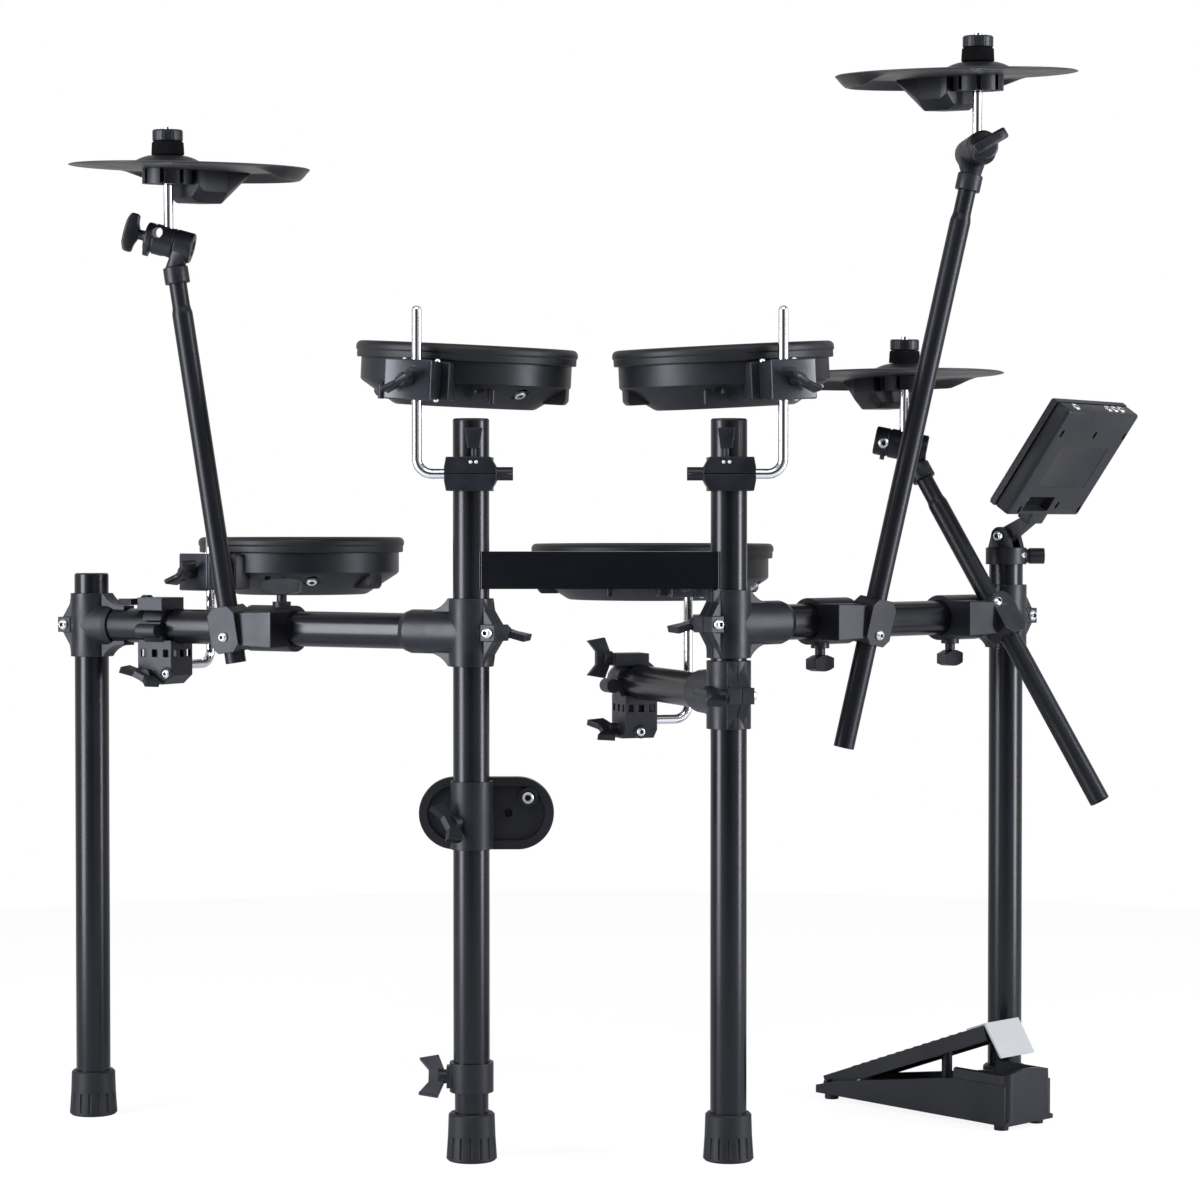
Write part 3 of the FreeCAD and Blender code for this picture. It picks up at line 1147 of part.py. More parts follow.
# Cymbal stands
ride_front = plan_direction(ride_arm_angle + 90)
hihat_front = plan_direction(hihat_arm_angle - 90)
ride_boom_foot = ride_inner + ride_direction * ride_boom_along + up * ride_arm_z
crash_boom_foot = hihat_inner + hihat_direction * crash_boom_along + up * hihat_arm_z
hihat_boom_foot = hihat_inner + hihat_direction * hihat_boom_along + up * hihat_arm_z
ride_stand = make_stand("ride", ride_boom_foot, ride_front, ride_boom_lean, ride_boom_below, ride_boom_l,
                        Vector(0.966, 0, -0.26), Vector(-0.966, 0, 0.26), up, 45)
crash_stand = make_stand("crash", crash_boom_foot, hihat_front, crash_boom_lean, crash_boom_below, crash_boom_l,
                         Vector(-0.2, 0.97, -0.1), Vector(0.2, -0.97, 0.1), Vector(0.87, 0, 0.5), 135)
hihat_stand = make_stand("hihat", hihat_boom_foot, hihat_front, hihat_boom_lean, hihat_boom_below, hihat_boom_l,
                         Vector(0.97, -0.1, -0.2), Vector(0, 1, 0), up, 120)
add("ride_boom_clamp", *boom_clamp(ride_stand["arm_axis"], ride_direction, ride_front, ride_stand["boom_at"],
                                   ride_stand["direction"], 1))
for stand in (crash_stand, hihat_stand):
    add("hihat_side_boom_clamps", *boom_clamp(stand["arm_axis"], hihat_direction, hihat_front, stand["boom_at"],
                                              stand["direction"], -1))

make_kick(ride_inner)
module_frame, module_pivot, module_axis, module_dial_at, module_normal = make_module(hihat_outer)
pedal_frame, pedal_hinge = make_pedal()

# The origin is on the floor, under the middle of the plan
everything = Part.makeCompound([solid for solids in nodes.values() for solid in solids])
bounds = everything.BoundBox
plan_shift = Vector(-bounds.Center.x, -bounds.Center.y, -bounds.ZMin)

os.makedirs("parts", exist_ok=True)
for name, solids in nodes.items():
    moved = [placed(solid, Placement(plan_shift, Rotation())) for solid in solids]
    shape = moved[0] if len(moved) == 1 else Part.makeCompound(moved)
    shape.exportStep("parts/" + name + ".step")
print(len(nodes), "nodes,", sum(len(solids) for solids in nodes.values()), "solids, box", bounds)
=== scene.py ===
import json
import math

import bmesh
import bpy
from mathutils import Matrix, Vector


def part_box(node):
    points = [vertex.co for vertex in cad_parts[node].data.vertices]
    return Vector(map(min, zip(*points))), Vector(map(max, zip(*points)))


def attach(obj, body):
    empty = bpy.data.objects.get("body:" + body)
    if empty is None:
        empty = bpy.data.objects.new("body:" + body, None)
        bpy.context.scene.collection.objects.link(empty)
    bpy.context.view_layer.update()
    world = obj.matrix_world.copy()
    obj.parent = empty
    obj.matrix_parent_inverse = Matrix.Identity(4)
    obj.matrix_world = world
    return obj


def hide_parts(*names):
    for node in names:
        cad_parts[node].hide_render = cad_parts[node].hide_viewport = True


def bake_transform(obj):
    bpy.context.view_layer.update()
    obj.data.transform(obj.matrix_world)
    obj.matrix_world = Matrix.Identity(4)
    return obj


bl_info = {
    "name": "Electronic Drum Kit",
    "version": (1, 0, 0),
    "blender": (4, 5, 0),
    "location": "View3D > Sidebar > Drum Kit",
    "description": "Dresses the drum kit's frame with moulded, rubber, chromed and woven surfaces",
    "category": "Object",
}

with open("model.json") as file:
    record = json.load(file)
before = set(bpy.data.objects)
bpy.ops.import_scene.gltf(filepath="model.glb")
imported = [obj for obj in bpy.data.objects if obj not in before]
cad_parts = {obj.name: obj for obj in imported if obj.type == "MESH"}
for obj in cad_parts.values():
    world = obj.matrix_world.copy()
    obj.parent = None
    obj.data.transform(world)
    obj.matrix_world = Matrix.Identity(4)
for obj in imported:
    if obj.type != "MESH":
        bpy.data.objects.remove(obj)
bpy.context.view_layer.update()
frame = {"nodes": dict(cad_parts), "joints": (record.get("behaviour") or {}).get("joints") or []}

MM = 0.001
UP = Vector((0, 0, 1))
AUDIENCE = Vector((0, -1, 0))
NODES = frame["nodes"]
JOINTS = {joint["name"]: joint for joint in frame["joints"]}
PADS = ("tom_1", "tom_2", "floor_tom", "snare")
STANDS = ("ride", "crash", "hihat")
BOOM_LENGTHS = {"ride": 431 * MM, "crash": 628 * MM, "hihat": 431 * MM}
BOOM_BELOW_CLAMP = {"ride": 37 * MM, "crash": 139 * MM, "hihat": 233 * MM}
# Height of the module's case, and its tilt hinge's distances below the case and in from its back
CASE_HEIGHT = 138 * MM
HINGE_DROP = 46 * MM
HINGE_DEPTH = 25.2 * MM
ROUND_STEPS = 128
SMALL_STEPS = 40


def node_box(node):
    """Lowest corner, highest corner and centre of a node."""
    low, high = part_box(node)
    return low, high, (low + high) / 2


def joint_point(name):
    """A point on a hinge's axis."""
    return Vector(JOINTS[name]["pos_m"])


def joint_axis(name):
    """The direction of a joint's axis."""
    return Vector(JOINTS[name]["axis"]).normalized()


def leg_axis(node):
    """Floor point under the middle of an upright tube."""
    centre = node_box(node)[2]
    return Vector((centre.x, centre.y, 0))


# The rack's plan, measured on the frame
RIDE_INNER = leg_axis("ride_inner_leg")
HIHAT_INNER = leg_axis("hihat_inner_leg")
RIDE_OUTER = leg_axis("ride_outer_leg")
HIHAT_OUTER = leg_axis("hihat_outer_leg")
RACK_MIDDLE = (RIDE_INNER + HIHAT_INNER) / 2
RIDE_DIRECTION = (RIDE_OUTER - RIDE_INNER).normalized()
HIHAT_DIRECTION = (HIHAT_OUTER - HIHAT_INNER).normalized()
TUBE_R = (node_box("ride_outer_leg")[1].x - node_box("ride_outer_leg")[0].x) / 2
# Side, place and way to the rack's middle, along X, of the two legs that hold the crossbar
INNER_LEGS = (("ride", RIDE_INNER, 1), ("hihat", HIHAT_INNER, -1))


def hex_colour(text):
    """Linear colour with alpha from an sRGB hex value such as 1A2B3C."""
    values = [int(text[index:index + 2], 16) / 255 for index in (0, 2, 4)]
    linear = [v / 12.92 if v <= 0.04045 else ((v + 0.055) / 1.055) ** 2.4 for v in values]
    return (*linear, 1.0)


def colour_property(label, text, use):
    """A colour setting with its sRGB default."""
    return bpy.props.FloatVectorProperty(
        name=label, description=use, subtype="COLOR", size=4, min=0, max=1, default=hex_colour(text))


def length_property(label, millimetres, use):
    """A length setting with its default in millimetres."""
    return bpy.props.FloatProperty(
        name=label, description=use, subtype="DISTANCE", unit="LENGTH", min=0, default=millimetres * MM)


def angle_property(label, degrees, use):
    """An angle setting with its default in degrees."""
    return bpy.props.FloatProperty(
        name=label, description=use, subtype="ANGLE", unit="ROTATION", default=math.radians(degrees))


class DrumKitColours(bpy.types.PropertyGroup):
    coat: colour_property("Powder coat", "0D0E12", "Black coat on the rack tubes and booms")
    coat_light: colour_property("Powder coat, light", "13141A", "Lighter patches in the coat")
    moulding: colour_property("Moulding", "0E0F14", "Pad shells, housings and pedal")
    moulding_light: colour_property("Moulding, light", "15161C", "Lighter patches in the mouldings")
    # The bracket plate's colour is lighter than the other mouldings': a painted highlight, on top of the
    # plate's real gloss
    plate: colour_property("Bracket plate", "1B1C24", "Front plates of the pad brackets")
    plate_light: colour_property("Bracket plate, light", "262731", "Lighter flow marks in the plates")
    nylon: colour_property("Clamp nylon", "101117", "T joints, clamps and knobs")
    nylon_light: colour_property("Clamp nylon, light", "191A21", "Scuffs on the clamps")
    rubber: colour_property("Rubber", "0D0E11", "Feet and rim hoops")
    rubber_light: colour_property("Rubber, light", "151619", "Bloom on the rubber")
    cymbal: colour_property("Cymbal rubber", "0F1014", "Cymbal plates")
    cymbal_light: colour_property("Cymbal rubber, light", "17181D", "Polished rings on the cymbals")
    mesh: colour_property("Mesh head", "D9D8D3", "Woven polyester head")
    mesh_gap: colour_property("Mesh gaps", "8F8E8A", "Gaps between the head's threads")
    foam: colour_property("Foam", "2C2D30", "Sensor cone under a head")
    chrome: colour_property("Chrome", "EDEEF0", "Plated rods")
    zinc: colour_property("Zinc", "E2E3E6", "Plated screws and rings")
    aluminium: colour_property("Aluminium", "ACADAC", "Toe plate")
    case: colour_property("Module case", "141519", "Sound module")
    case_light: colour_property("Module case, light", "1C1D22", "Lighter grain on the module")
    window: colour_property("Window", "0A0D10", "Module's display window")
    keys: colour_property("Keys", "3A3B3E", "Silicone keys")
    felt: colour_property("Felt", "0B0B0C", "Cymbal felts")
    felt_light: colour_property("Felt, light", "151516", "Loose fibres on the felts")


class DrumKitSizes(bpy.types.PropertyGroup):
    """Sizes that the frame doesn't give."""
    hoop_height: length_property("Hoop height", 17.5, "Height of a pad's rim hoop")
    hoop_width: length_property("Hoop width", 13.0, "Width of a pad's rim hoop")
    hoop_round: length_property("Hoop rounding", 6.0, "Outer top radius of the hoop")
    head_drop: length_property("Head drop", 3.0, "How far the head lies below the hoop's top")
    shell_inset: length_property("Shell inset", 6.0, "How far the shell stands back under the hoop")
    shell_wall: length_property("Shell wall height", 24.5, "Height of the shell's upright wall")
    shell_taper: length_property("Shell taper height", 24.0, "Height of the shell's tapered part")
    shell_taper_in: length_property("Shell taper depth", 36.0, "How far the taper comes in")
    shell_thickness: length_property("Shell thickness", 3.0, "Wall thickness of a pad's shell")
    bracket_height: length_property("Bracket height", 40.0, "Height of the rod bracket")
    bracket_width: length_property("Bracket width", 44.0, "Width of the rod bracket's body")
    bracket_depth: length_property("Bracket depth", 34.0, "How far the bracket reaches out of the rim")
    bracket_plate: length_property("Bracket plate", 52.0, "Width of the bracket's front plate")
    bracket_flange: length_property("Bracket flange", 62.0, "Width of the bracket's foot on the shell")
    bracket_mid_drop: length_property("Bracket middle", 39.0, "From the hoop's top to the bracket's middle")
    tom_roll: angle_property("Tom roll", 2.8, "How far the toms lean to the middle")
    tom_pitch: angle_property("Tom pitch", 2.7, "How far the toms lean to the drummer")
    rod_pitch: angle_property("Cymbal rod pitch", 3.5, "How far the cymbal rods lean to the audience")
    ride_pitch: angle_property("Ride pitch", 5.2, "How far the ride cymbal leans to the audience")
    crash_pitch: angle_property("Crash pitch", 6.6, "How far the crash cymbal leans to the audience")
    hihat_pitch: angle_property("Hi-hat pitch", 1.2, "How far the hi-hat cymbal leans to the audience")
    cymbal_droop: angle_property("Cymbal droop", 1.5, "How far a plate hangs down on its playing side")
    cymbal_diameter: length_property("Cymbal diameter", 259.0, "Diameter of a cymbal plate")
    cymbal_offset: length_property("Cymbal offset", 29.0, "From the stud to the plate's middle")
    boom_diameter: length_property("Boom diameter", 22.2, "Diameter of a cymbal boom")
    tilter_radius: length_property("Tilter radius", 16.5, "Radius of a tilter's two halves")
    lens: bpy.props.FloatProperty(name="Lens", description="Focal length", unit="CAMERA", default=91.98)
    camera_distance: length_property("Camera distance", 3200.0, "From the inner legs to the camera")
    camera_height: length_property("Camera height", 665.0, "Camera above the floor")
    camera_pitch: angle_property("Camera pitch", 1.4, "How far the camera looks down")


def colours():
    """The scene's colour settings."""
    return bpy.context.scene.drum_kit_colours


def sizes():
    """The scene's size settings."""
    return bpy.context.scene.drum_kit_sizes


# Materials

def add_node(tree, kind, inputs=None, **settings):
    """Add a shader node, set its properties, and fill or link its inputs."""
    made = tree.nodes.new("ShaderNode" + kind)
    for name, value in settings.items():
        setattr(made, name, value)
    for name, value in (inputs or {}).items():
        if isinstance(value, bpy.types.NodeSocket):
            tree.links.new(value, made.inputs[name])
        else:
            made.inputs[name].default_value = value
    return made


def per_metre(millimetres):
    """Texture scale that repeats at this real size."""
    return 1 / (millimetres * MM)


def wave_scale(millimetres):
    """Wave texture scale with this real distance from crest to crest."""
    crests_per_unit = 20 / (2 * math.pi)
    return per_metre(millimetres) / crests_per_unit


def start_material(name):
    """Material with an empty node tree and its coordinates, or no tree if the material is there already."""
    material = bpy.data.materials.get(name)
    if material:
        return material, None, None
    material = bpy.data.materials.new(name)
    material.use_nodes = True
    tree = material.node_tree
    tree.nodes.clear()
    coordinates = add_node(tree, "TexCoord").outputs["Object"]
    return material, tree, coordinates


def close_material(tree, inputs):
    """Principled shader and output at the end of a material."""
    shader = add_node(tree, "BsdfPrincipled", inputs)
    add_node(tree, "OutputMaterial", {"Surface": shader.outputs["BSDF"]})


# Values between which most of a noise texture lies
NOISE_RANGE = (0.3, 0.7)


def noise(tree, coordinates, size_mm, detail):
    """Noise whose patches have about this real size."""
    return add_node(tree, "TexNoise", {
        "Vector": coordinates, "Scale": per_metre(size_mm), "Detail": detail}).outputs["Fac"]


def remap(tree, value, source, target=(0.0, 1.0)):
    """A value taken from one range to another."""
    return add_node(tree, "MapRange", {
        "Value": value, "From Min": source[0], "From Max": source[1],
        "To Min": target[0], "To Max": target[1]}).outputs["Result"]


def mix_colours(tree, share, first, second):
    """The first colour, going over to the second as the share rises."""
    return add_node(tree, "Mix", {
        "Factor": share, "A": first, "B": second}, data_type="RGBA").outputs["Result"]


def relief(tree, height, depth_mm, strength, under=None):
    """Bump of this real depth, on top of another normal where one is given."""
    inputs = {"Height": height, "Distance": depth_mm * MM, "Strength": strength}
    if under is not None:
        inputs["Normal"] = under
    return add_node(tree, "Bump", inputs).outputs["Normal"]


def soft_edges(tree, radius_mm, samples):
    """Normal that rounds off the edges by this real radius."""
    return add_node(tree, "Bevel", {"Radius": radius_mm * MM}, samples=samples).outputs["Normal"]


def grained(name, colour, light, roughness, grain_mm, depth_mm, patch_mm=60, specular=0.35, edge_mm=0.7,
            spread=0.06):
    """Moulded or coated surface: fine grain, slow patches in colour and gloss, edges softened if asked."""
    material, tree, coordinates = start_material(name)
    if tree is None:
        return material
    grain = noise(tree, coordinates, grain_mm, 3.0)
    patches = noise(tree, coordinates, patch_mm, 4.0)
    tone = remap(tree, patches, (0.35, 0.7))
    edges = soft_edges(tree, edge_mm, 6) if edge_mm else None
    close_material(tree, {
        "Base Color": mix_colours(tree, tone, colour, light),
        "Roughness": remap(tree, patches, NOISE_RANGE, (roughness - spread, roughness + spread)),
        "Specular IOR Level": specular,
        "Normal": relief(tree, grain, depth_mm, 0.6, edges)})
    return material


def powder_coated_steel():
    """Satin black powder coat, sprayed and baked: clear streaks of light with a faint orange peel."""
    c = colours()
    return grained("powder_coated_steel", c.coat, c.coat_light, roughness=0.25, grain_mm=1.4,
                   depth_mm=0.003, patch_mm=120, specular=0.34, edge_mm=0, spread=0.03)


def matt_coated_steel():
    """Black powder coat of the booms, baked duller than on the rack: broad and faint streaks of light."""
    c = colours()
    return grained("matt_coated_steel", c.coat, c.coat_light, roughness=0.36, grain_mm=1.2, depth_mm=0.004,
                   patch_mm=90, specular=0.26, edge_mm=0, spread=0.04)


def moulded_abs():
    """Spark-textured ABS, injection moulded: dull, with a fine even grain drawn a little coarse to show."""
    c = colours()
    return grained("moulded_abs", c.moulding, c.moulding_light, roughness=0.42, grain_mm=0.9, depth_mm=0.04,
                   patch_mm=70)


def polished_abs():
    """ABS moulded in a polished tool: smoother than the grained shells, with soft highlights; its base colour
    is painted greyer than theirs, a painted highlight.
    """
    c = colours()
    return grained("polished_abs", c.plate, c.plate_light, roughness=0.3, grain_mm=1.2, depth_mm=0.01,
                   patch_mm=30, specular=0.5, edge_mm=1.2)


def glass_filled_nylon():
    """Glass-filled nylon, injection moulded: greyer than ABS, with soft corners and a fibre bloom."""
    c = colours()
    return grained("glass_filled_nylon", c.nylon, c.nylon_light, roughness=0.4, grain_mm=0.7, depth_mm=0.03,
                   patch_mm=25, edge_mm=1.6)


def moulded_rubber():
    """Black rubber, compression moulded: matt, with a grey bloom."""
    c = colours()
    return grained("moulded_rubber", c.rubber, c.rubber_light, roughness=0.5, grain_mm=0.8, depth_mm=0.04,
                   patch_mm=40)


def module_abs():
    """Grained ABS of the module's case, injection moulded: dull with a coarse leather-like grain."""
    c = colours()
    return grained("module_abs", c.case, c.case_light, roughness=0.45, grain_mm=1.1, depth_mm=0.06,
                   patch_mm=50)


def silicone_keys():
    """Cast silicone rubber of the keys: soft and matt."""
    c = colours()
    return grained("silicone_keys", c.keys, c.rubber_light, roughness=0.6, grain_mm=0.8, depth_mm=0.02,
                   patch_mm=20, specular=0.3)


def wool_felt():
    """Pressed wool felt: no gloss, loose fibres on top."""
    c = colours()
    return grained("wool_felt", c.felt, c.felt_light, roughness=0.92, grain_mm=0.6, depth_mm=0.3,
                   patch_mm=8, specular=0.1, spread=0.04)


def sensor_foam():
    """Open-cell polyurethane foam, cut: dull and pitted."""
    c = colours()
    return grained("sensor_foam", c.foam, c.felt_light, roughness=0.9, grain_mm=1.5, depth_mm=0.8,
                   patch_mm=6, specular=0.1, spread=0.04)


def turned_rubber(stud, name):
    """Rubber cymbal skin moulded in a turned tool: shallow rings 19 mm apart round the stud, half dull."""
    c = colours()
    material, tree, coordinates = start_material(name)
    if tree is None:
        return material
    centred = add_node(tree, "Mapping", {"Vector": coordinates, "Location": tuple(-value for value in stud)})
    rings = add_node(tree, "TexWave", {
        "Vector": centred.outputs["Vector"], "Scale": wave_scale(18.85), "Distortion": 0.0, "Detail": 0.0},
        wave_type="RINGS", rings_direction="Z", wave_profile="SIN").outputs["Fac"]
    patches = noise(tree, coordinates, 45, 4.0)
    grain = relief(tree, noise(tree, coordinates, 0.9, 2.0), 0.04, 0.5)
    close_material(tree, {
        "Base Color": mix_colours(tree, patches, c.cymbal, c.cymbal_light),
        "Roughness": remap(tree, patches, NOISE_RANGE, (0.38, 0.5)),
        "Specular IOR Level": 0.35,
        "Normal": relief(tree, rings, 0.12, 0.5, grain)})
    return material


def woven_mesh():
    """Woven polyester mesh of the pad heads: threads 4 mm apart, coarser than real so that they show."""
    c = colours()
    material, tree, coordinates = start_material("woven_mesh")
    if tree is None:
        return material
    threads = []
    for direction in ("X", "Y"):
        threads.append(add_node(tree, "TexWave", {
            "Vector": coordinates, "Scale": wave_scale(4), "Distortion": 0.3, "Detail": 1.0},
            wave_type="BANDS", bands_direction=direction, wave_profile="SIN").outputs["Fac"])
    weave = add_node(tree, "Math", {0: threads[0], 1: threads[1]}, operation="MAXIMUM").outputs["Value"]
    worn = noise(tree, coordinates, 70, 3.0)
    shade = add_node(tree, "Math", {0: weave, 1: worn}, operation="MULTIPLY").outputs["Value"]
    tone = remap(tree, shade, (0.05, 0.5))
    close_material(tree, {
        "Base Color": mix_colours(tree, tone, c.mesh_gap, c.mesh),
        "Roughness": 0.8,
        "Specular IOR Level": 0.2,
        "Normal": relief(tree, weave, 0.15, 0.7)})
    return material


def plated(name, colour, roughness, smear_mm, spread, depth_mm=0.01):
    """Plated metal: bright, with faint smears in the gloss."""
    material, tree, coordinates = start_material(name)
    if tree is None:
        return material
    smear = noise(tree, coordinates, smear_mm, 5.0)
    close_material(tree, {
        "Base Color": colour,
        "Metallic": 1.0,
        "Roughness": remap(tree, smear, NOISE_RANGE, (roughness, roughness + spread)),
        "Normal": relief(tree, smear, depth_mm, 0.3, soft_edges(tree, 0.4, 4))})
    return material


def chrome_plated_steel():
    """Polished steel rod, chrome plated: mirror bright with finger smears."""
    return plated("chrome_plated_steel", colours().chrome, roughness=0.05, smear_mm=30, spread=0.06,
                  depth_mm=0.002)


def zinc_plated_steel():
    """Cold-headed steel screws, zinc plated: bright but slightly cloudy."""
    return plated("zinc_plated_steel", colours().zinc, roughness=0.3, smear_mm=4, spread=0.12)


def brushed_aluminium():
    """Aluminium sheet, brushed along its width and lacquered dull: even silver with streaks 0.8 mm wide."""
    material, tree, coordinates = start_material("brushed_aluminium")
    if tree is None:
        return material
    stretched = add_node(tree, "Mapping", {"Vector": coordinates, "Scale": (1.0, 1.0, 30.0)})
    streaks = noise(tree, stretched.outputs["Vector"], 24, 4.0)
    close_material(tree, {
        "Base Color": colours().aluminium,
        "Metallic": 0.35,
        "Roughness": remap(tree, streaks, NOISE_RANGE, (0.42, 0.58)),
        "Normal": relief(tree, streaks, 0.03, 0.4)})
    return material


def display_window():
    """Cast acrylic window over the display: black and glossy, with fine dust."""
    c = colours()
    return grained("display_window", c.window, c.coat, roughness=0.14, grain_mm=3.0, depth_mm=0.005,
                   patch_mm=30, specular=0.5, spread=0.04)


# Shapes

def arc(x, z, radius, start, end, steps=8):
    """Points on an arc, with its angles in degrees."""
    angles = [math.radians(start + (end - start) * step / steps) for step in range(steps + 1)]
    return [(x + radius * math.cos(angle), z + radius * math.sin(angle)) for angle in angles]


def lathe(outline, steps=ROUND_STEPS):
    """Outline of radius and height points turned round the Z axis."""
    shape = bmesh.new()
    points = [shape.verts.new((radius, 0, height)) for radius, height in outline]
    edges = [shape.edges.new(pair) for pair in zip(points, points[1:])]
    bmesh.ops.spin(shape, geom=points + edges, cent=(0, 0, 0), axis=UP, angle=2 * math.pi, steps=steps,
                   use_merge=True)
    bmesh.ops.remove_doubles(shape, verts=shape.verts[:], dist=1e-7)
    return shape


def disc(radius, low, high, steps=SMALL_STEPS):
    """Solid disc or bar between two heights."""
    return lathe([(0, low), (radius, low), (radius, high), (0, high)], steps)


def plain_ring(inner, outer, low, high, steps=SMALL_STEPS):
    """Ring between two radii and two heights."""
    return lathe([(inner, low), (outer, low), (outer, high), (inner, high), (inner, low)], steps)


def turned_by(degrees):
    """Turn about the Z axis."""
    return Matrix.Rotation(math.radians(degrees), 4, "Z")


def softened(shape, rounding, segments=3):
    """The shape itself, with all its edges rounded."""
    bmesh.ops.recalc_face_normals(shape, faces=shape.faces[:])
    bmesh.ops.bevel(shape, geom=shape.edges[:], offset=rounding, segments=segments, profile=0.5,
                    affect="EDGES", clamp_overlap=True)
    return shape


def prism(outline, depth, rounding, segments=3):
    """Outline in the XZ plane, thickened along Y, with rounded edges."""
    shape = bmesh.new()
    face = shape.faces.new([shape.verts.new((x, -depth / 2, z)) for x, z in outline])
    pulled = bmesh.ops.extrude_face_region(shape, geom=[face])["geom"]
    corners = [item for item in pulled if isinstance(item, bmesh.types.BMVert)]
    bmesh.ops.translate(shape, vec=(0, depth, 0), verts=corners)
    return softened(shape, rounding, segments)


def rounded_block(x_range, y_range, z_range, rounding):
    """Box between limits, with rounded edges."""
    outline = [(x_range[0], z_range[0]), (x_range[1], z_range[0]), (x_range[1], z_range[1]),
               (x_range[0], z_range[1])]
    shape = prism(outline, y_range[1] - y_range[0], rounding)
    bmesh.ops.translate(shape, vec=(0, (y_range[0] + y_range[1]) / 2, 0), verts=shape.verts[:])
    return shape


def frame_at(origin, z_axis, x_hint):
    """Matrix at a point with Z along z_axis and X as near x_hint as can be."""
    z = Vector(z_axis).normalized()
    y = z.cross(Vector(x_hint)).normalized()
    x = y.cross(z)
    matrix = Matrix((x, y, z)).transposed().to_4x4()
    matrix.translation = origin
    return matrix


def new_piece(name, shape, material, body, place=Matrix(), sharp=35):
    """Turn a bmesh into a smooth piece that rides on a body, or on none if no body is given."""
    bmesh.ops.recalc_face_normals(shape, faces=shape.faces[:])
    mesh = bpy.data.meshes.new(name)
    shape.to_mesh(mesh)
    shape.free()
    mesh.transform(place)
    mesh.materials.append(material)
    mesh.shade_smooth()
    mesh.set_sharp_from_angle(angle=math.radians(sharp))
    piece = bpy.data.objects.new(name, mesh)
    bpy.context.scene.collection.objects.link(piece)
    if body:
        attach(piece, body)
    return piece


def dress(material, *names):
    """Give CAD nodes a material."""
    for name in names:
        slots = NODES[name].data.materials
        slots.clear()
        slots.append(material)


def closed_tube(radius, length, edge=1 * MM, steps=SMALL_STEPS):
    """Round bar with softened ends, from the origin along Z."""
    outline = [(0, 0), (radius - edge, 0)] + arc(radius - edge, edge, edge, -90, 0, 4)
    outline += arc(radius - edge, length - edge, edge, 0, 90, 4) + [(0, length)]
    return lathe(outline, steps)


def ribbed_bar(radius, rib, count, low, high, edge=1 * MM):
    """Bar with rounded ribs round it, such as a finger nut, with softened ends."""
    shape = bmesh.new()
    depths = (0, 0.3, 1, 0.3)
    steps = count * len(depths)
    outline = []
    for step in range(steps):
        reach = radius - rib * depths[step % len(depths)]
        angle = 2 * math.pi * step / steps
        outline.append((reach * math.cos(angle), reach * math.sin(angle)))
    rows = []
    for height, inset in ((low, edge), (low + edge, 0), (high - edge, 0), (high, edge)):
        share = (radius - inset) / radius
        rows.append([shape.verts.new((x * share, y * share, height)) for x, y in outline])
    return close_rows(shape, rows)


def join_rings(shape, near, far):
    """Band of faces between two closed rings of points."""
    count = len(near)
    for step in range(count):
        after = (step + 1) % count
        shape.faces.new((near[step], near[after], far[after], far[step]))


def close_rows(shape, rows):
    """The shape itself, with bands of faces between its rows of points and a face at each end."""
    for near, far in zip(rows, rows[1:]):
        join_rings(shape, near, far)
    shape.faces.new(rows[0])
    shape.faces.new(rows[-1])
    return shape


def sector(inner, outer, low, high, start, end, steps=6):
    """Piece of a ring between two angles in degrees."""
    shape = bmesh.new()
    corners = ((inner, low), (outer, low), (outer, high), (inner, high))
    rows = []
    for step in range(steps + 1):
        angle = math.radians(start + (end - start) * step / steps)
        rows.append([shape.verts.new((r * math.cos(angle), r * math.sin(angle), z)) for r, z in corners])
    return close_rows(shape, rows)


def wrapped(points):
    """Tight skin round a set of points."""
    shape = bmesh.new()
    verts = [shape.verts.new(point) for point in points]
    bmesh.ops.convex_hull(shape, input=verts)
    loose = [vert for vert in shape.verts if not vert.link_faces]
    bmesh.ops.delete(shape, geom=loose, context="VERTS")
    return shape


def circle_points(place, radius, height=0.0, steps=32):
    """Points of a circle round a frame's Z axis."""
    angles = [2 * math.pi * step / steps for step in range(steps)]
    return [place @ Vector((radius * math.cos(angle), radius * math.sin(angle), height)) for angle in angles]


def moved(shape, place):
    """The shape itself, moved to a frame."""
    bmesh.ops.transform(shape, matrix=place, verts=shape.verts[:])
    return shape


def joined(*shapes):
    """Several shapes in one."""
    whole = bmesh.new()
    for shape in shapes:
        bmesh.ops.recalc_face_normals(shape, faces=shape.faces[:])
        part = bpy.data.meshes.new("part")
        shape.to_mesh(part)
        shape.free()
        whole.from_mesh(part)
        bpy.data.meshes.remove(part)
    return whole


def carved(shape, *cutters):
    """What is left of a closed shape after other closed shapes are cut out of it."""
    items = []
    for item in (shape, *cutters):
        bmesh.ops.recalc_face_normals(item, faces=item.faces[:])
        mesh = bpy.data.meshes.new("carving")
        item.to_mesh(mesh)
        item.free()
        items.append(bpy.data.objects.new("carving", mesh))
        bpy.context.scene.collection.objects.link(items[-1])
    for cutter in items[1:]:
        cut = items[0].modifiers.new("cut", "BOOLEAN")
        cut.operation = "DIFFERENCE"
        cut.solver = "EXACT"
        cut.object = cutter
    bpy.context.view_layer.update()
    left = bmesh.new()
    left.from_object(items[0], bpy.context.evaluated_depsgraph_get())
    for item in items:
        mesh = item.data
        bpy.data.objects.remove(item)
        bpy.data.meshes.remove(mesh)
    return left


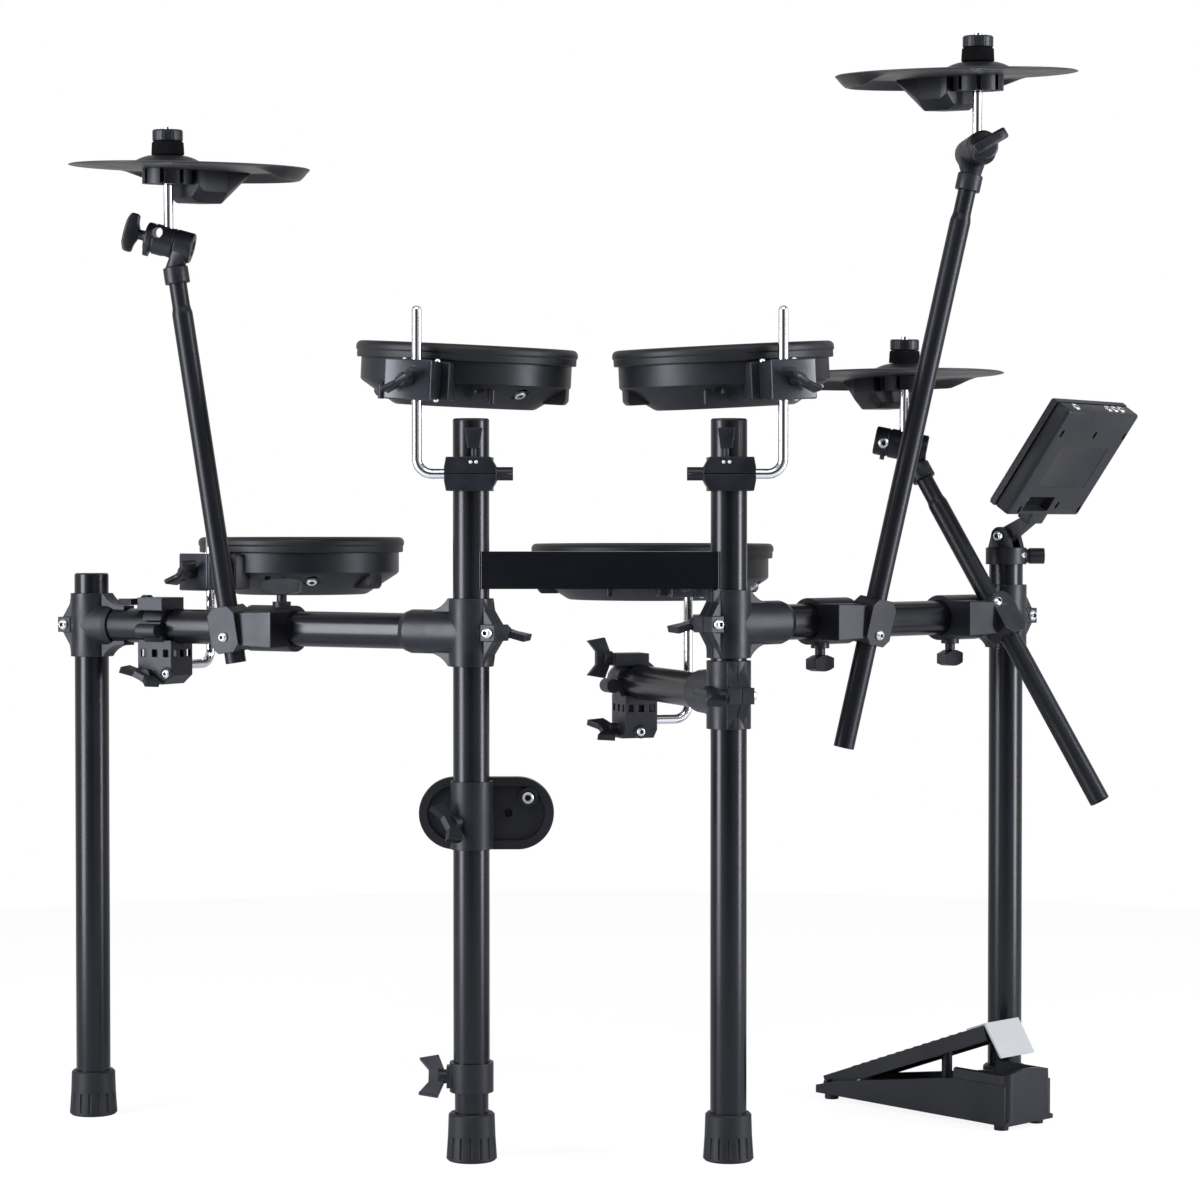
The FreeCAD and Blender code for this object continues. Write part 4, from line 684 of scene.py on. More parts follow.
def socket_screw(name, body, place, diameter=10 * MM, height=4 * MM):
    """Domed screw head with a six-sided socket, its seat at the origin and pointing out along Z."""
    r = diameter / 2
    socket_r = r * 0.5
    rim = 0.25
    dome = [(0, 0), (r, 0), (r, height * rim)]
    for angle in (0.25, 0.5, 0.75, 0.95):
        dome.append((r * math.cos(angle), height * (rim + (1 - rim) * math.sin(angle))))
    dome += [(socket_r * 1.1, height), (0, height)]
    hole = disc(socket_r, height * 0.35, height * 2, 6)
    new_piece(name, carved(lathe(dome, 32), hole), zinc_plated_steel(), body, place)
    # The socket's floor is a black rubber disc sunk in the hole: painted shade that darkens the inside of the
    # socket
    floor = disc(socket_r * 0.98, height * 0.3, height * 0.45, 6)
    new_piece(name + "_socket", floor, moulded_rubber(), body, place)


def jack_socket(names, body, place, radii_mm, heights_mm, plug_material):
    """Jack socket pointing out along Z: a bright ring with a softened edge, and a dark plug sunk in it."""
    hole, outer = [value * MM for value in radii_mm]
    low, top, plug_top = [value * MM for value in heights_mm]
    edge_in = 0.7 * MM
    edge_down = 0.6 * MM
    collar = lathe([(hole, low), (outer, low), (outer, top - edge_down), (outer - edge_in, top), (hole, top),
                    (hole, low)], SMALL_STEPS)
    new_piece(names % "ring", collar, zinc_plated_steel(), body, place)
    new_piece(names % "plug", disc(hole, low, plug_top), plug_material, body, place)


def round_boss(name, body, place, diameter, height):
    """Moulded round boss with a raised lip, its seat at the origin and pointing out along Z."""
    r = diameter / 2
    lip = 1.2 * MM
    edge = 0.8 * MM
    sunk = -2 * MM
    face = height - 1 * MM
    outline = [(0, sunk), (r, sunk), (r, height - edge), (r - edge, height), (r - lip, height),
               (r - lip - edge / 2, face), (0, face)]
    new_piece(name, lathe(outline, SMALL_STEPS), glass_filled_nylon(), body, place)


def wing_shape(span=46 * MM, reach=20 * MM, hub=15 * MM, hub_height=9 * MM, thickness=7 * MM):
    """Wing bolt head, its seat at the origin and pointing out along Z."""
    half = span / 2
    r = hub / 2
    top = hub_height + reach / 2
    tip = thickness / 2
    edge = 1 * MM
    outline = [(-r, hub_height / 3), (r, hub_height / 3), (half, hub_height), (half - tip, top + reach / 2),
               (r, top), (-r, top), (-half + tip, top + reach / 2), (-half, hub_height)]
    blade = prism(outline, thickness, 2.4 * MM, 4)
    stem_top = top * 0.9
    stem = lathe([(0, 0), (r - edge, 0), (r, edge), (r, hub_height), (r * 0.8, stem_top), (0, stem_top)], 32)
    return joined(blade, stem)


def t_knob_shape(bar=42 * MM, bar_height=14 * MM, thickness=12 * MM, neck=11 * MM, neck_height=11 * MM):
    """T knob: a waisted grip bar on a short neck, its seat at the origin and pointing out along Z."""
    half = bar / 2
    r = neck / 2
    foot_r = r + 1 * MM
    top = neck_height + bar_height
    under = neck_height + 1 * MM
    shoulder = top - 4 * MM
    crown = top - 0.6 * MM
    right = [(r, neck_height - 3 * MM), (half * 0.55, neck_height), (half, under), (half, shoulder),
             (half * 0.6, crown)]
    left = [(-x, z) for x, z in reversed(right)]
    grip = prism([left[-1]] + right + [(0, top)] + left[:-1], thickness, 2.6 * MM, 4)
    stem = lathe([(0, 0), (foot_r, 0), (foot_r, 2 * MM), (r, 3 * MM), (r, neck_height), (0, neck_height)], 32)
    return joined(grip, stem)


# Operators

class DRUMKIT_OT_rack(bpy.types.Operator):
    """Finish the rack's tubes, joints, clamps and feet"""
    bl_idname = "drumkit.rack"
    bl_label = "Rack"

    def execute(self, context):
        dress(powder_coated_steel(), "ride_inner_leg", "hihat_inner_leg", "crossbar", "leg_extension",
              "ride_arm", "ride_outer_leg", "hihat_arm", "hihat_outer_leg", "snare_arm")
        dress(moulded_rubber(), "ride_inner_foot", "hihat_inner_foot", "ride_outer_foot", "hihat_outer_foot")
        dress(glass_filled_nylon(), "inner_leg_caps", "leg_collar", "tom_clamps", "ride_tee",
              "ride_outer_tee", "hihat_tee", "hihat_outer_tee", "snare_tee", "floor_tom_clamp", "snare_clamp")
        self.add_tee_bolts()
        self.add_clamp_screws()
        self.add_tom_clamp_pins()
        self.add_welds()
        return {"FINISHED"}

    def add_welds(self):
        """Rippled weld beads where the crossbar's front meets the inner legs."""
        low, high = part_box("crossbar")
        bead = 1.5 * MM
        ripple = 0.35 * MM
        pitch = 1.5 * MM
        height = high.z - low.z
        count = int(height / pitch)
        outline = [(0, 0)]
        for step in range(count + 1):
            outline.append((bead + ripple * (step % 2), height * step / count))
        outline.append((0, height))
        depth = RIDE_INNER.y - low.y
        reach = math.sqrt(TUBE_R ** 2 - depth ** 2)
        for side, leg, inward in INNER_LEGS:
            foot = Vector((leg.x + inward * reach, low.y, low.z))
            new_piece(side + "_side_weld", lathe(outline, 16), powder_coated_steel(), "centre_frame",
                      Matrix.Translation(foot), sharp=60)

    def add_tee_bolts(self):
        """Screw heads on the T joints' ears, on the side away from the wing nut."""
        ear = 28.5 * MM
        boss = 14 * MM
        bolt_diameter = 12 * MM
        bolt_height = 5 * MM
        snare_direction = UP.cross(joint_axis("snare_rod_turn"))
        tees = {
            "ride_tee": ("ride_wing", RIDE_INNER, RIDE_DIRECTION, 1),
            "ride_outer_tee": ("ride_wing", RIDE_OUTER, -RIDE_DIRECTION, -1),
            "hihat_tee": ("hihat_wing", HIHAT_INNER, HIHAT_DIRECTION, -1),
            "hihat_outer_tee": ("hihat_wing", HIHAT_OUTER, -HIHAT_DIRECTION, 1),
            "snare_tee": ("snare_swing", HIHAT_INNER, snare_direction, -1),
        }
        for node, (body, leg, direction, side) in tees.items():
            height = node_box(node)[2].z
            normal = UP.cross(direction) * side
            seat = leg - direction * ear + normal * boss + UP * height
            socket_screw(node + "_bolt", body, frame_at(seat, normal, UP), diameter=bolt_diameter,
                         height=bolt_height)

    def add_clamp_screws(self):
        """Screw in a round boss low on each of the two clamps that grip a bent rod."""
        rise = 44 * MM
        boss_diameter = 15 * MM
        boss_height = 2.4 * MM
        screw_seat = 1.4 * MM
        # Body, distance of the clamp from the pad's swivel, the boss's place in the clamp and where it faces
        clamps = {
            "floor_tom": ("ride_wing", 83 * MM, (17 * MM, -19 * MM, -52 * MM), (0, -1, 0)),
            "snare": ("snare_swing", 65 * MM, (23 * MM, -1 * MM, -56 * MM), (1, 0, 0)),
        }
        for name, (body, reach, spot, facing) in clamps.items():
            along = joint_axis(name + "_rod_turn")
            centre = joint_point(name + "_pad_swivel") - along * reach + UP * rise
            place = frame_at(centre, UP, along.cross(UP)) @ frame_at(spot, facing, UP)
            round_boss(name + "_clamp_boss", body, place, diameter=boss_diameter, height=boss_height)
            seat = place @ Matrix.Translation((0, 0, screw_seat))
            socket_screw(name + "_clamp_screw", body, seat, diameter=10 * MM, height=3 * MM)

    def add_tom_clamp_pins(self):
        """Two bright pins in the front of each tom clamp."""
        height = joint_point("tom_1_pad_swivel").z + 12 * MM
        front = RIDE_INNER.y - 36.75 * MM
        pin_r = 1.7 * MM
        sunk = -1 * MM
        tip = 0.9 * MM
        outline = [(0, sunk), (pin_r, sunk), (pin_r, 0.5 * MM), (1.1 * MM, tip), (0, tip)]
        for side, leg, inward in INNER_LEGS:
            for index, offset in enumerate((1 * MM, 7 * MM)):
                seat = Vector((leg.x + inward * offset, front, height))
                new_piece("%s_tom_clamp_pin_%d" % (side, index + 1), lathe(outline, 24), zinc_plated_steel(),
                          "centre_frame", frame_at(seat, AUDIENCE, UP))


class DRUMKIT_OT_rods(bpy.types.Operator):
    """Finish the chromed rods"""
    bl_idname = "drumkit.rods"
    bl_label = "Rods"

    def execute(self, context):
        dress(chrome_plated_steel(), *[name + "_rod" for name in PADS + STANDS])
        return {"FINISHED"}


class DRUMKIT_OT_pads(bpy.types.Operator):
    """Build the four pads: shell, lugs, hoop, mesh head, bracket and socket"""
    bl_idname = "drumkit.pads"
    bl_label = "Pads"

    def execute(self, context):
        s = sizes()
        leans = {"tom_1": (s.tom_pitch, s.tom_roll), "tom_2": (s.tom_pitch, -s.tom_roll)}
        for name in PADS:
            pitch, roll = leans.get(name, (0, 0))
            self.build(name, Matrix.Rotation(pitch, 3, "X") @ Matrix.Rotation(roll, 3, "Y"))
        return {"FINISHED"}

    def build(self, name, lean):
        """One pad, placed by its head's box and by the rod that holds it."""
        s = sizes()
        centre = node_box(name + "_head")[2]
        body = name + "_pad"
        axis = lean @ UP
        top = centre + axis * s.hoop_height / 2
        rod = joint_point(name + "_pad_swivel")
        outward = Vector((rod.x - top.x, rod.y - top.y, -s.bracket_mid_drop))
        place = frame_at(top, axis, outward)
        radius = self.rim_radius(name)
        self.add_rim(name, body, place, radius)
        self.add_shell(name, body, place, radius - s.shell_inset)
        self.add_bracket(name, body, place, radius)

    def add_rim(self, name, body, place, radius):
        """Rubber hoop with a soft step, the mesh head stretched inside it, and the sensor's foam cone."""
        s = sizes()
        inner = radius - s.hoop_width
        low = -s.hoop_height
        step = 1.2 * MM
        foot_round = 1.5 * MM
        foot_r = radius - step - foot_round
        inner_round = 2.5 * MM
        ledge = low * 0.52
        hoop = [(inner, low), (foot_r, low)]
        hoop += arc(foot_r, low + foot_round, foot_round, -90, 0, 4)
        hoop += [(radius - step, ledge - 1 * MM), (radius - 0.3 * MM, ledge), (radius, ledge + 1 * MM)]
        hoop += arc(radius - s.hoop_round, -s.hoop_round, s.hoop_round, 0, 90)
        hoop += arc(inner + inner_round, -inner_round, inner_round, 90, 180, 5)
        hoop.append(hoop[0])
        rim = new_piece(name + "_hoop", lathe(hoop), moulded_rubber(), body, place)
        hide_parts(name + "_head")
        mesh_r = inner + 0.3 * MM
        head = [(mesh_r * share, -s.head_drop) for share in (0, 0.25, 0.5, 0.75, 1.0)]
        skin = new_piece(name + "_mesh", lathe(head), woven_mesh(), body, place)
        floor = low - s.shell_wall - s.shell_taper + s.shell_thickness
        cone_foot_r = 26 * MM
        cone_tip_r = 14 * MM
        under_head = -s.head_drop - 1.5 * MM
        cone = lathe([(0, floor), (cone_foot_r, floor), (cone_tip_r, under_head), (0, under_head)], 48)
        piece = new_piece(name + "_sensor", cone, sensor_foam(), body, place)

    def add_shell(self, name, body, place, wall):
        """Tapered shell with two screw channels, a sunk socket, two screw posts and three lugs."""
        s = sizes()
        high = -s.hoop_height
        wall_low = high - s.shell_wall
        floor = wall_low - s.shell_taper
        floor_r = wall - s.shell_taper_in
        inside = wall - s.shell_thickness
        inside_floor = floor + s.shell_thickness
        above = high + 1 * MM
        skin = [(0, floor), (floor_r - 3 * MM, floor), (floor_r, floor + 1.2 * MM),
                (wall - 2 * MM, wall_low - 0.5 * MM), (wall, wall_low + 2 * MM), (wall, high), (0, high)]
        cavity = [(0, inside_floor), (floor_r - 1.5 * MM, inside_floor), (inside, wall_low), (inside, above),
                  (0, above)]
        bosses = []
        channels = []
        for angle in (30, -30):
            bosses.append(self.post(angle, wall - 11 * MM, 9 * MM, floor - 5 * MM, wall_low + 9 * MM))
            channels.append(self.post(angle, wall - 9 * MM, 5.5 * MM, floor - 10 * MM, wall_low + 4 * MM))
        spot = self.socket_frame(wall, wall_low, floor, floor_r)
        pocket = lathe([(0, -2 * MM), (10 * MM, -2 * MM), (11 * MM, 4 * MM), (0, 4 * MM)], SMALL_STEPS)
        hollow = carved(lathe(cavity), *bosses)
        shape = carved(lathe(skin), hollow, moved(pocket, spot), *channels)
        dish = new_piece(name + "_dish", shape, moulded_abs(), body, place)
        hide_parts(name + "_shell")
        jack_socket(name + "_socket_%s", body, place @ spot, radii_mm=(3.2, 5.8), heights_mm=(-2, 2, 0.4),
                    plug_material=moulded_rubber())
        self.add_screw_posts(name, body, place, wall, wall_low)
        self.add_lugs(name, body, place, wall, wall_low)

    def add_screw_posts(self, name, body, place, wall, wall_low):
        """Two posts that stand out of the taper beside the channels, open for a screw at their lower end."""
        r = 3.6 * MM
        edge = 0.6 * MM
        hole_r = 1.6 * MM
        distance = wall - 11 * MM
        low = wall_low - 19 * MM
        high = wall_low + 1 * MM
        hole_end = low + 2 * MM
        outline = [(0, hole_end), (hole_r, hole_end), (hole_r, low), (r - edge, low), (r, low + edge),
                   (r, high), (0, high)]
        for index, angle in enumerate((38, -38)):
            turn = turned_by(angle) @ Matrix.Translation((distance, 0, 0))
            new_piece("%s_screw_post_%d" % (name, index + 1), lathe(outline, 32), moulded_abs(), body,
                      place @ turn)

    def post(self, angle, distance, radius, low, high):
        """Upright round post at an angle and a distance from the middle."""
        return moved(disc(radius, low, high, 32), turned_by(angle) @ Matrix.Translation((distance, 0, 0)))

    def socket_frame(self, wall, wall_low, floor, floor_r):
        """Frame on the taper's upper part, beside the bracket, looking out."""
        angle = 57
        share_up = 0.66
        taper = Vector((wall - floor_r, 0, wall_low - floor))
        normal = Vector((taper.z, 0, -taper.x)).normalized()
        middle = Vector((floor_r, 0, floor)) + taper * share_up
        return turned_by(angle) @ frame_at(middle, normal, (0, 1, 0))

    def rim_radius(self, name):
        """Half the hoop's width across, from its level box."""
        low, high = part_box(name + "_head")
        return round((high.x - low.x) / 2, 3)

    def add_lugs(self, name, body, place, wall, wall_low):
        """Three lugs under the shell's wall, clear of the bracket."""
        width = 22 * MM
        back = wall - 26 * MM
        front = wall - 1.5 * MM
        low = wall_low - 17 * MM
        high = wall_low + 2 * MM
        outline = [(back, low), (front - 3.5 * MM, low), (front, low + 4 * MM), (front, high), (back, high)]
        for index, angle in enumerate((100, 180, 260)):
            new_piece("%s_lug_%d" % (name, index + 1), prism(outline, width, 1.6 * MM), moulded_abs(), body,
                      place @ turned_by(angle))

    def add_bracket(self, name, body, place, radius):
        """Rod bracket: foot on the shell, body with four screws, front plate and wing bolt."""
        s = sizes()
        wall = radius - s.shell_inset
        top = -s.hoop_height - 1.5 * MM
        low = top - s.bracket_height
        end = radius + s.bracket_depth
        front = end + 5 * MM
        proud = 1 * MM
        # Limits outward from the pad's middle, width, limits in height, rounding and material
        blocks = {
            "bracket_foot": ((wall - 12 * MM, radius + 3 * MM), s.bracket_flange, (low, top), 1.5 * MM,
                             moulded_abs()),
            "bracket": ((wall - 2 * MM, end), s.bracket_width, (low, top), 2 * MM, moulded_abs()),
            "bracket_plate": ((end - proud, front), s.bracket_plate, (low - proud, top + proud), 1.8 * MM,
                              polished_abs()),
        }
        for part, (outward, width, heights, rounding, material) in blocks.items():
            shape = rounded_block(outward, (-width / 2, width / 2), heights, rounding)
            new_piece(name + "_" + part, shape, material, body, place)
        side = 18.6 * MM
        head = [(0, -1 * MM), (3 * MM, -1 * MM), (3 * MM, 1 * MM), (2.2 * MM, 2.2 * MM), (0, 2.6 * MM)]
        screws = ((-side, top, 1), (side, top, 1), (0, low, -1), (side, low, -1))
        for index, (across, height, facing) in enumerate(screws):
            spot = place @ frame_at((radius + 5 * MM, across, height), (0, 0, facing), (1, 0, 0))
            new_piece("%s_bracket_screw_%d" % (name, index + 1), lathe(head, 24), zinc_plated_steel(), body,
                      spot)
        wing_turn = -0.7 if name == "tom_2" else 0.7
        seat = frame_at((front, 0, (low + top) / 2), (1, 0, 0), (0, 1, wing_turn))
        new_piece(name + "_wing", wing_shape(), glass_filled_nylon(), body, place @ seat)


class DRUMKIT_OT_cymbals(bpy.types.Operator):
    """Build the cymbals: plate with bell and playing edge, hub and sensor housing"""
    bl_idname = "drumkit.cymbals"
    bl_label = "Cymbals"

    def execute(self, context):
        for name in STANDS:
            self.build(name)
        return {"FINISHED"}

    def build(self, name):
        """One cymbal, placed by its rocking hinge."""
        s = sizes()
        body = name + "_plate"
        stud = joint_point(name + "_cymbal_rock")
        rock = joint_axis(name + "_cymbal_rock")
        pitches = {"ride": s.ride_pitch, "crash": s.crash_pitch, "hihat": s.hihat_pitch}
        upright = Matrix.Rotation(pitches[name], 3, "X") @ UP
        place = frame_at(stud, upright, rock.cross(upright)) @ Matrix.Rotation(s.cymbal_droop, 4, "Y")
        skin = turned_rubber(stud, "turned_rubber_" + name)
        plate = new_piece(name + "_skin", self.plate_shape(), skin, body, place, 50)
        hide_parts(name + "_cymbal")
        new_piece(name + "_bell", self.bell_shape(), skin, body, place, 50)
        new_piece(name + "_hub", self.hub_shape(), moulded_abs(), body, place)
        new_piece(name + "_housing", self.housing_shape(), moulded_abs(), body, place)

    def plate_shape(self):
        """Thin disc round the plate's middle, with a deeper boat-shaped rim on the playing side."""
        s = sizes()
        radius = s.cymbal_diameter / 2
        # How far round, as a cosine, the playing rim takes to reach its full depth
        fade = 0.3
        # Share of the radius, then heights in mm: top, underside, underside on the playing side
        section = ((0.1, 4, -4, -4), (0.3, 3.9, -3.6, -3.8), (0.5, 3.6, -3, -3.2), (0.7, 3.1, -2.2, -2.6),
                   (0.82, 2.7, -1.6, -2.6), (0.855, 2.6, -1.5, -4.5), (0.88, 2.5, -1.3, -10),
                   (0.9, 2.4, -1.2, -12), (0.92, 2.3, -1, -11.4), (0.95, 2.1, -0.8, -7.8),
                   (0.98, 1.7, -0.4, -3), (1, 0.7, 0.2, -0.3))
        shape = bmesh.new()
        tops = []
        lows = []
        for share, top, plain_low, playing_low in section:
            top_ring = []
            low_ring = []
            for step in range(ROUND_STEPS):
                angle = 2 * math.pi * step / ROUND_STEPS
                x = radius * share * math.cos(angle) + s.cymbal_offset
                y = radius * share * math.sin(angle)
                playing = min(max(math.cos(angle) / fade, 0), 1)
                low = plain_low + (playing_low - plain_low) * playing
                top_ring.append(shape.verts.new((x, y, top * MM)))
                low_ring.append(shape.verts.new((x, y, low * MM)))
            tops.append(top_ring)
            lows.append(low_ring)
        for rings in (tops, lows):
            for near, far in zip(rings, rings[1:]):
                join_rings(shape, near, far)
            shape.faces.new(rings[0])
        join_rings(shape, tops[-1], lows[-1])
        return shape

    def bell_shape(self):
        """Bell with a flat top round the stud hole."""
        hole = 6.3 * MM
        flat = 14 * MM
        foot = 39 * MM
        skirt = foot + 1 * MM
        under = 0.5 * MM
        low = 3 * MM
        high = 12 * MM
        outline = [(hole, under), (hole, high)]
        for share in (0, 0.15, 0.3, 0.45, 0.6, 0.75, 0.9, 1):
            outline.append((flat + (foot - flat) * share, low + (high - low) * (1 - share ** 1.9)))
        outline += [(skirt, low - 0.6 * MM), (skirt, under), (hole, under)]
        return lathe(outline, 96)

    def hub_shape(self):
        """Hub under the bell: a sleeve with ribs standing round it and gaps between them."""
        hole = 6.3 * MM
        recess = 13 * MM
        sleeve = 20 * MM
        outer = 27.5 * MM
        low = -19 * MM
        sleeve_low = low + 1 * MM
        roof = -10 * MM
        top = -2 * MM
        core = lathe([(hole, top), (sleeve, top), (sleeve, sleeve_low), (recess, sleeve_low), (recess, roof),
                      (hole, roof), (hole, top)], 72)
        count = 8
        turn = 360 / count
        rib_share = 0.78
        ribs = []
        for index in range(count):
            ribs.append(sector(sleeve - 0.5 * MM, outer, low, top, turn * index, turn * (index + rib_share)))
        return joined(core, *ribs)

    def housing_shape(self):
        """Faceted wedge under the playing side, narrowing to its far end."""
        start = 17 * MM
        end = 101 * MM
        low = -38 * MM
        high = -3 * MM
        half = 31 * MM
        facet = 12 * MM
        near = [(-half, high), (-half, low + facet), (-half + facet, low), (half - facet, low),
                (half, low + facet), (half, high)]
        middle = [(y * 0.92, z) for y, z in near]
        far_half = half * 0.45
        far_flat = half * 0.4
        far = [(-far_half, high), (-far_half, -5 * MM), (-far_flat, -6 * MM), (far_flat, -6 * MM),
               (far_half, -5 * MM), (far_half, high)]
        # Distance from the stud, section, and how far the section's lower points are raised
        stations = ((start, near, 6 * MM), (start + 9 * MM, near, 0), (start + 42 * MM, middle, 0),
                    (end, far, 0))
        shape = bmesh.new()
        rows = []
        for x, section, lift in stations:
            rows.append([shape.verts.new((x, y, z + (lift if z < -20 * MM else 0))) for y, z in section])
        return softened(close_rows(shape, rows), 1.5 * MM)


class DRUMKIT_OT_stands(bpy.types.Operator):
    """Build the booms and tilters, and finish the boom clamps"""
    bl_idname = "drumkit.stands"
    bl_label = "Cymbal stands"

    def execute(self, context):
        dress(glass_filled_nylon(), "ride_boom_clamp", "hihat_side_boom_clamps")
        for name in STANDS:
            self.build(name)
        return {"FINISHED"}

    def build(self, name):
        """One stand, placed by its slide and its tilt hinge."""
        slide = joint_axis(name + "_boom_slide")
        centre = joint_point(name + "_tilt")
        axis = joint_axis(name + "_tilt")
        neck_length = 26 * MM
        neck_offset = 3.5 * MM
        top = centre - slide * neck_length - axis * neck_offset
        upright = Matrix.Rotation(sizes().rod_pitch, 3, "X") @ UP
        self.add_boom(name, top, slide, axis)
        self.add_knuckle(name, top, slide, centre, axis)
        self.add_jaw(name, centre, axis, upright)
        self.add_knob(name, centre, axis)
        self.add_fittings(name, upright)
        self.add_clamp_bolt(name, top, slide)

    def add_boom(self, name, top, slide, axis):
        """Boom tube with an open lower end, swaged to a thinner neck under its collar."""
        body = name + "_stand"
        length = BOOM_LENGTHS[name]
        r = sizes().boom_diameter / 2
        bore = r - 1.5 * MM
        bore_end = 4 * MM
        edge = 0.3 * MM
        neck_r = 9.6 * MM
        collar_r = 13.5 * MM
        collar = 18 * MM
        neck_end = length - collar + 1 * MM
        swage = 10 * MM
        swage_start = length - 42 * MM - swage
        tube = [(0, bore_end), (bore, bore_end), (bore, 0), (r - edge, 0), (r, edge), (r, swage_start)]
        for share in (0.15, 0.35, 0.5, 0.65, 0.85, 1):
            bend = (math.cos(share * math.pi) + 1) / 2
            tube.append((neck_r + (r - neck_r) * bend, swage_start + swage * share))
        tube += [(neck_r, neck_end), (0, neck_end)]
        bottom = frame_at(top - slide * length, slide, axis)
        boom = new_piece(name + "_boom_tube", lathe(tube, 64), matt_coated_steel(), body,
                         bottom)
        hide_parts(name + "_boom")
        collar_place = bottom @ Matrix.Translation((0, 0, length - collar))
        ring = moved(closed_tube(collar_r, collar, 1.2 * MM), collar_place)
        new_piece(name + "_collar", ring, glass_filled_nylon(), body)

    def add_knuckle(self, name, top, slide, centre, axis):
        """Lower half of the tilter: a round barrel on a neck that spreads from the collar."""
        r = sizes().tilter_radius
        gap = 0.4 * MM
        end = 20 * MM
        edge = 1 * MM
        end_round = 2 * MM
        dished = end - 1.5 * MM
        neck_r = 11 * MM
        body = name + "_stand"
        barrel_frame = frame_at(centre, axis, slide)
        barrel = [(0, gap), (r - edge, gap), (r, gap + edge), (r, end - end_round)]
        barrel += arc(r - end_round, end - end_round, end_round, 0, 90, 4)
        barrel += [(r * 0.55, end), (r * 0.5, dished), (0, dished)]
        new_piece(name + "_barrel", lathe(barrel, 64), glass_filled_nylon(), body,
                  barrel_frame)
        points = circle_points(frame_at(top, slide, axis), neck_r)
        for depth in (gap + edge, end - 3 * MM):
            rim = circle_points(barrel_frame, r - edge, depth)
            points += [point for point in rim if (point - centre).dot(slide) < 1 * MM]
        new_piece(name + "_neck", wrapped(points), glass_filled_nylon(), body, sharp=40)

    def jaw_length(self, name):
        """The hi-hat's jaw is longer, because its knob stands behind it."""
        return 40 * MM if name == "hihat" else 32 * MM

    def add_jaw(self, name, centre, axis, upright):
        """Upper half of the tilter: round jaw that grips the rod, with a plate hanging from its outer end."""
        r = sizes().tilter_radius
        length = self.jaw_length(name)
        body = name + "_holder"
        jaw_frame = frame_at(centre, -axis, upright)
        groove = 23 * MM
        groove_r = r - 1.4 * MM
        edge = 1 * MM
        end_round = 2.5 * MM
        outline = [(0, 0.1 * MM), (r - edge, 0.1 * MM), (r, edge), (r, groove - 0.8 * MM), (groove_r, groove),
                   (groove_r, groove + 0.8 * MM), (r - 0.4 * MM, groove + 1.6 * MM)]
        outline += arc(r - 0.4 * MM - end_round, length - end_round, end_round, 0, 90, 4) + [(0, length)]
        bar = 60 * MM
        rod_start = (-bar / 2, 0, 6.5 * MM)
        cutters = [moved(closed_tube(5.5 * MM, bar), frame_at(rod_start, (1, 0, 0), UP))]
        if name == "ride":
            hole_start = (7.2 * MM, -bar / 2, 19 * MM)
            cutters.append(moved(closed_tube(5.7 * MM, bar), frame_at(hole_start, (0, 1, 0), UP)))
        shape = carved(lathe(outline, 64), *cutters)
        jaw = new_piece(name + "_jaw", shape, glass_filled_nylon(), body, jaw_frame)
        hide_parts(name + "_tilter")
        plate_frame = jaw_frame @ Matrix.Translation((-8 * MM, 0, 0))
        points = []
        for depth in (25.5 * MM, 30.5 * MM):
            points += circle_points(jaw_frame, r - 2 * MM, depth)
            points += circle_points(plate_frame, r - 4 * MM, depth)
        new_piece(name + "_jaw_plate", wrapped(points), glass_filled_nylon(), body, sharp=40)

    def add_knob(self, name, centre, axis):
        """T knob at the jaw's end, or behind the hi-hat's jaw with a bolt in front."""
        r = sizes().tilter_radius
        body = name + "_holder"
        end = centre - axis * (self.jaw_length(name) - 0.4 * MM)
        behind = centre - axis * 15 * MM + Vector((0, r - 1 * MM, 0))
        knobs = {
            "ride": (end, -axis, UP),
            "crash": (end, -axis, Vector((0.87, 0, 0.5))),
            "hihat": (behind, -AUDIENCE, axis),
        }
        place = frame_at(*knobs[name])
        new_piece(name + "_knob", t_knob_shape(), glass_filled_nylon(), body, place)
        if name == "hihat":
            spot = centre - axis * 31.5 * MM + Vector((0, -r + 2 * MM, -2 * MM))
            socket_screw(name + "_jaw_bolt", body, frame_at(spot, (0, -1, -0.1), UP), diameter=12.5 * MM,
                         height=4.5 * MM)

    def add_fittings(self, name, upright):
        """Washer under the plate, felt and ribbed nut, all on the rod."""
        stud = joint_point(name + "_cymbal_rock")
        place = frame_at(stud, upright, joint_axis(name + "_cymbal_rock"))
        body = name + "_holder"
        hole = 5.3 * MM
        washer = plain_ring(hole, 7 * MM, -16.2 * MM, -11.2 * MM, 32)
        new_piece(name + "_washer", washer, moulded_rubber(), body, place)
        low = 12.3 * MM
        high = 26.2 * MM
        felt_r = 17.6 * MM
        foot_hole = 7 * MM
        top_round = 1.4 * MM
        felt = [(foot_hole, low), (felt_r - 0.6 * MM, low), (felt_r, low + 0.8 * MM)]
        felt += arc(felt_r - 0.6 * MM - top_round, high - top_round, top_round, 0, 90, 4)
        felt += [(hole, high), (foot_hole, low)]
        piece = new_piece(name + "_felt", lathe(felt, 64), wool_felt(), None, place)
        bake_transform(piece)
        nut_low = high + 0.1 * MM
        nut_high = 39.2 * MM
        nut = ribbed_bar(16.3 * MM, rib=0.3 * MM, count=30, low=nut_low, high=nut_high, edge=1.4 * MM)
        new_piece(name + "_nut", nut, glass_filled_nylon(), body, place)

    def add_clamp_bolt(self, name, top, slide):
        """Screw in the front of the boom clamp's jaw."""
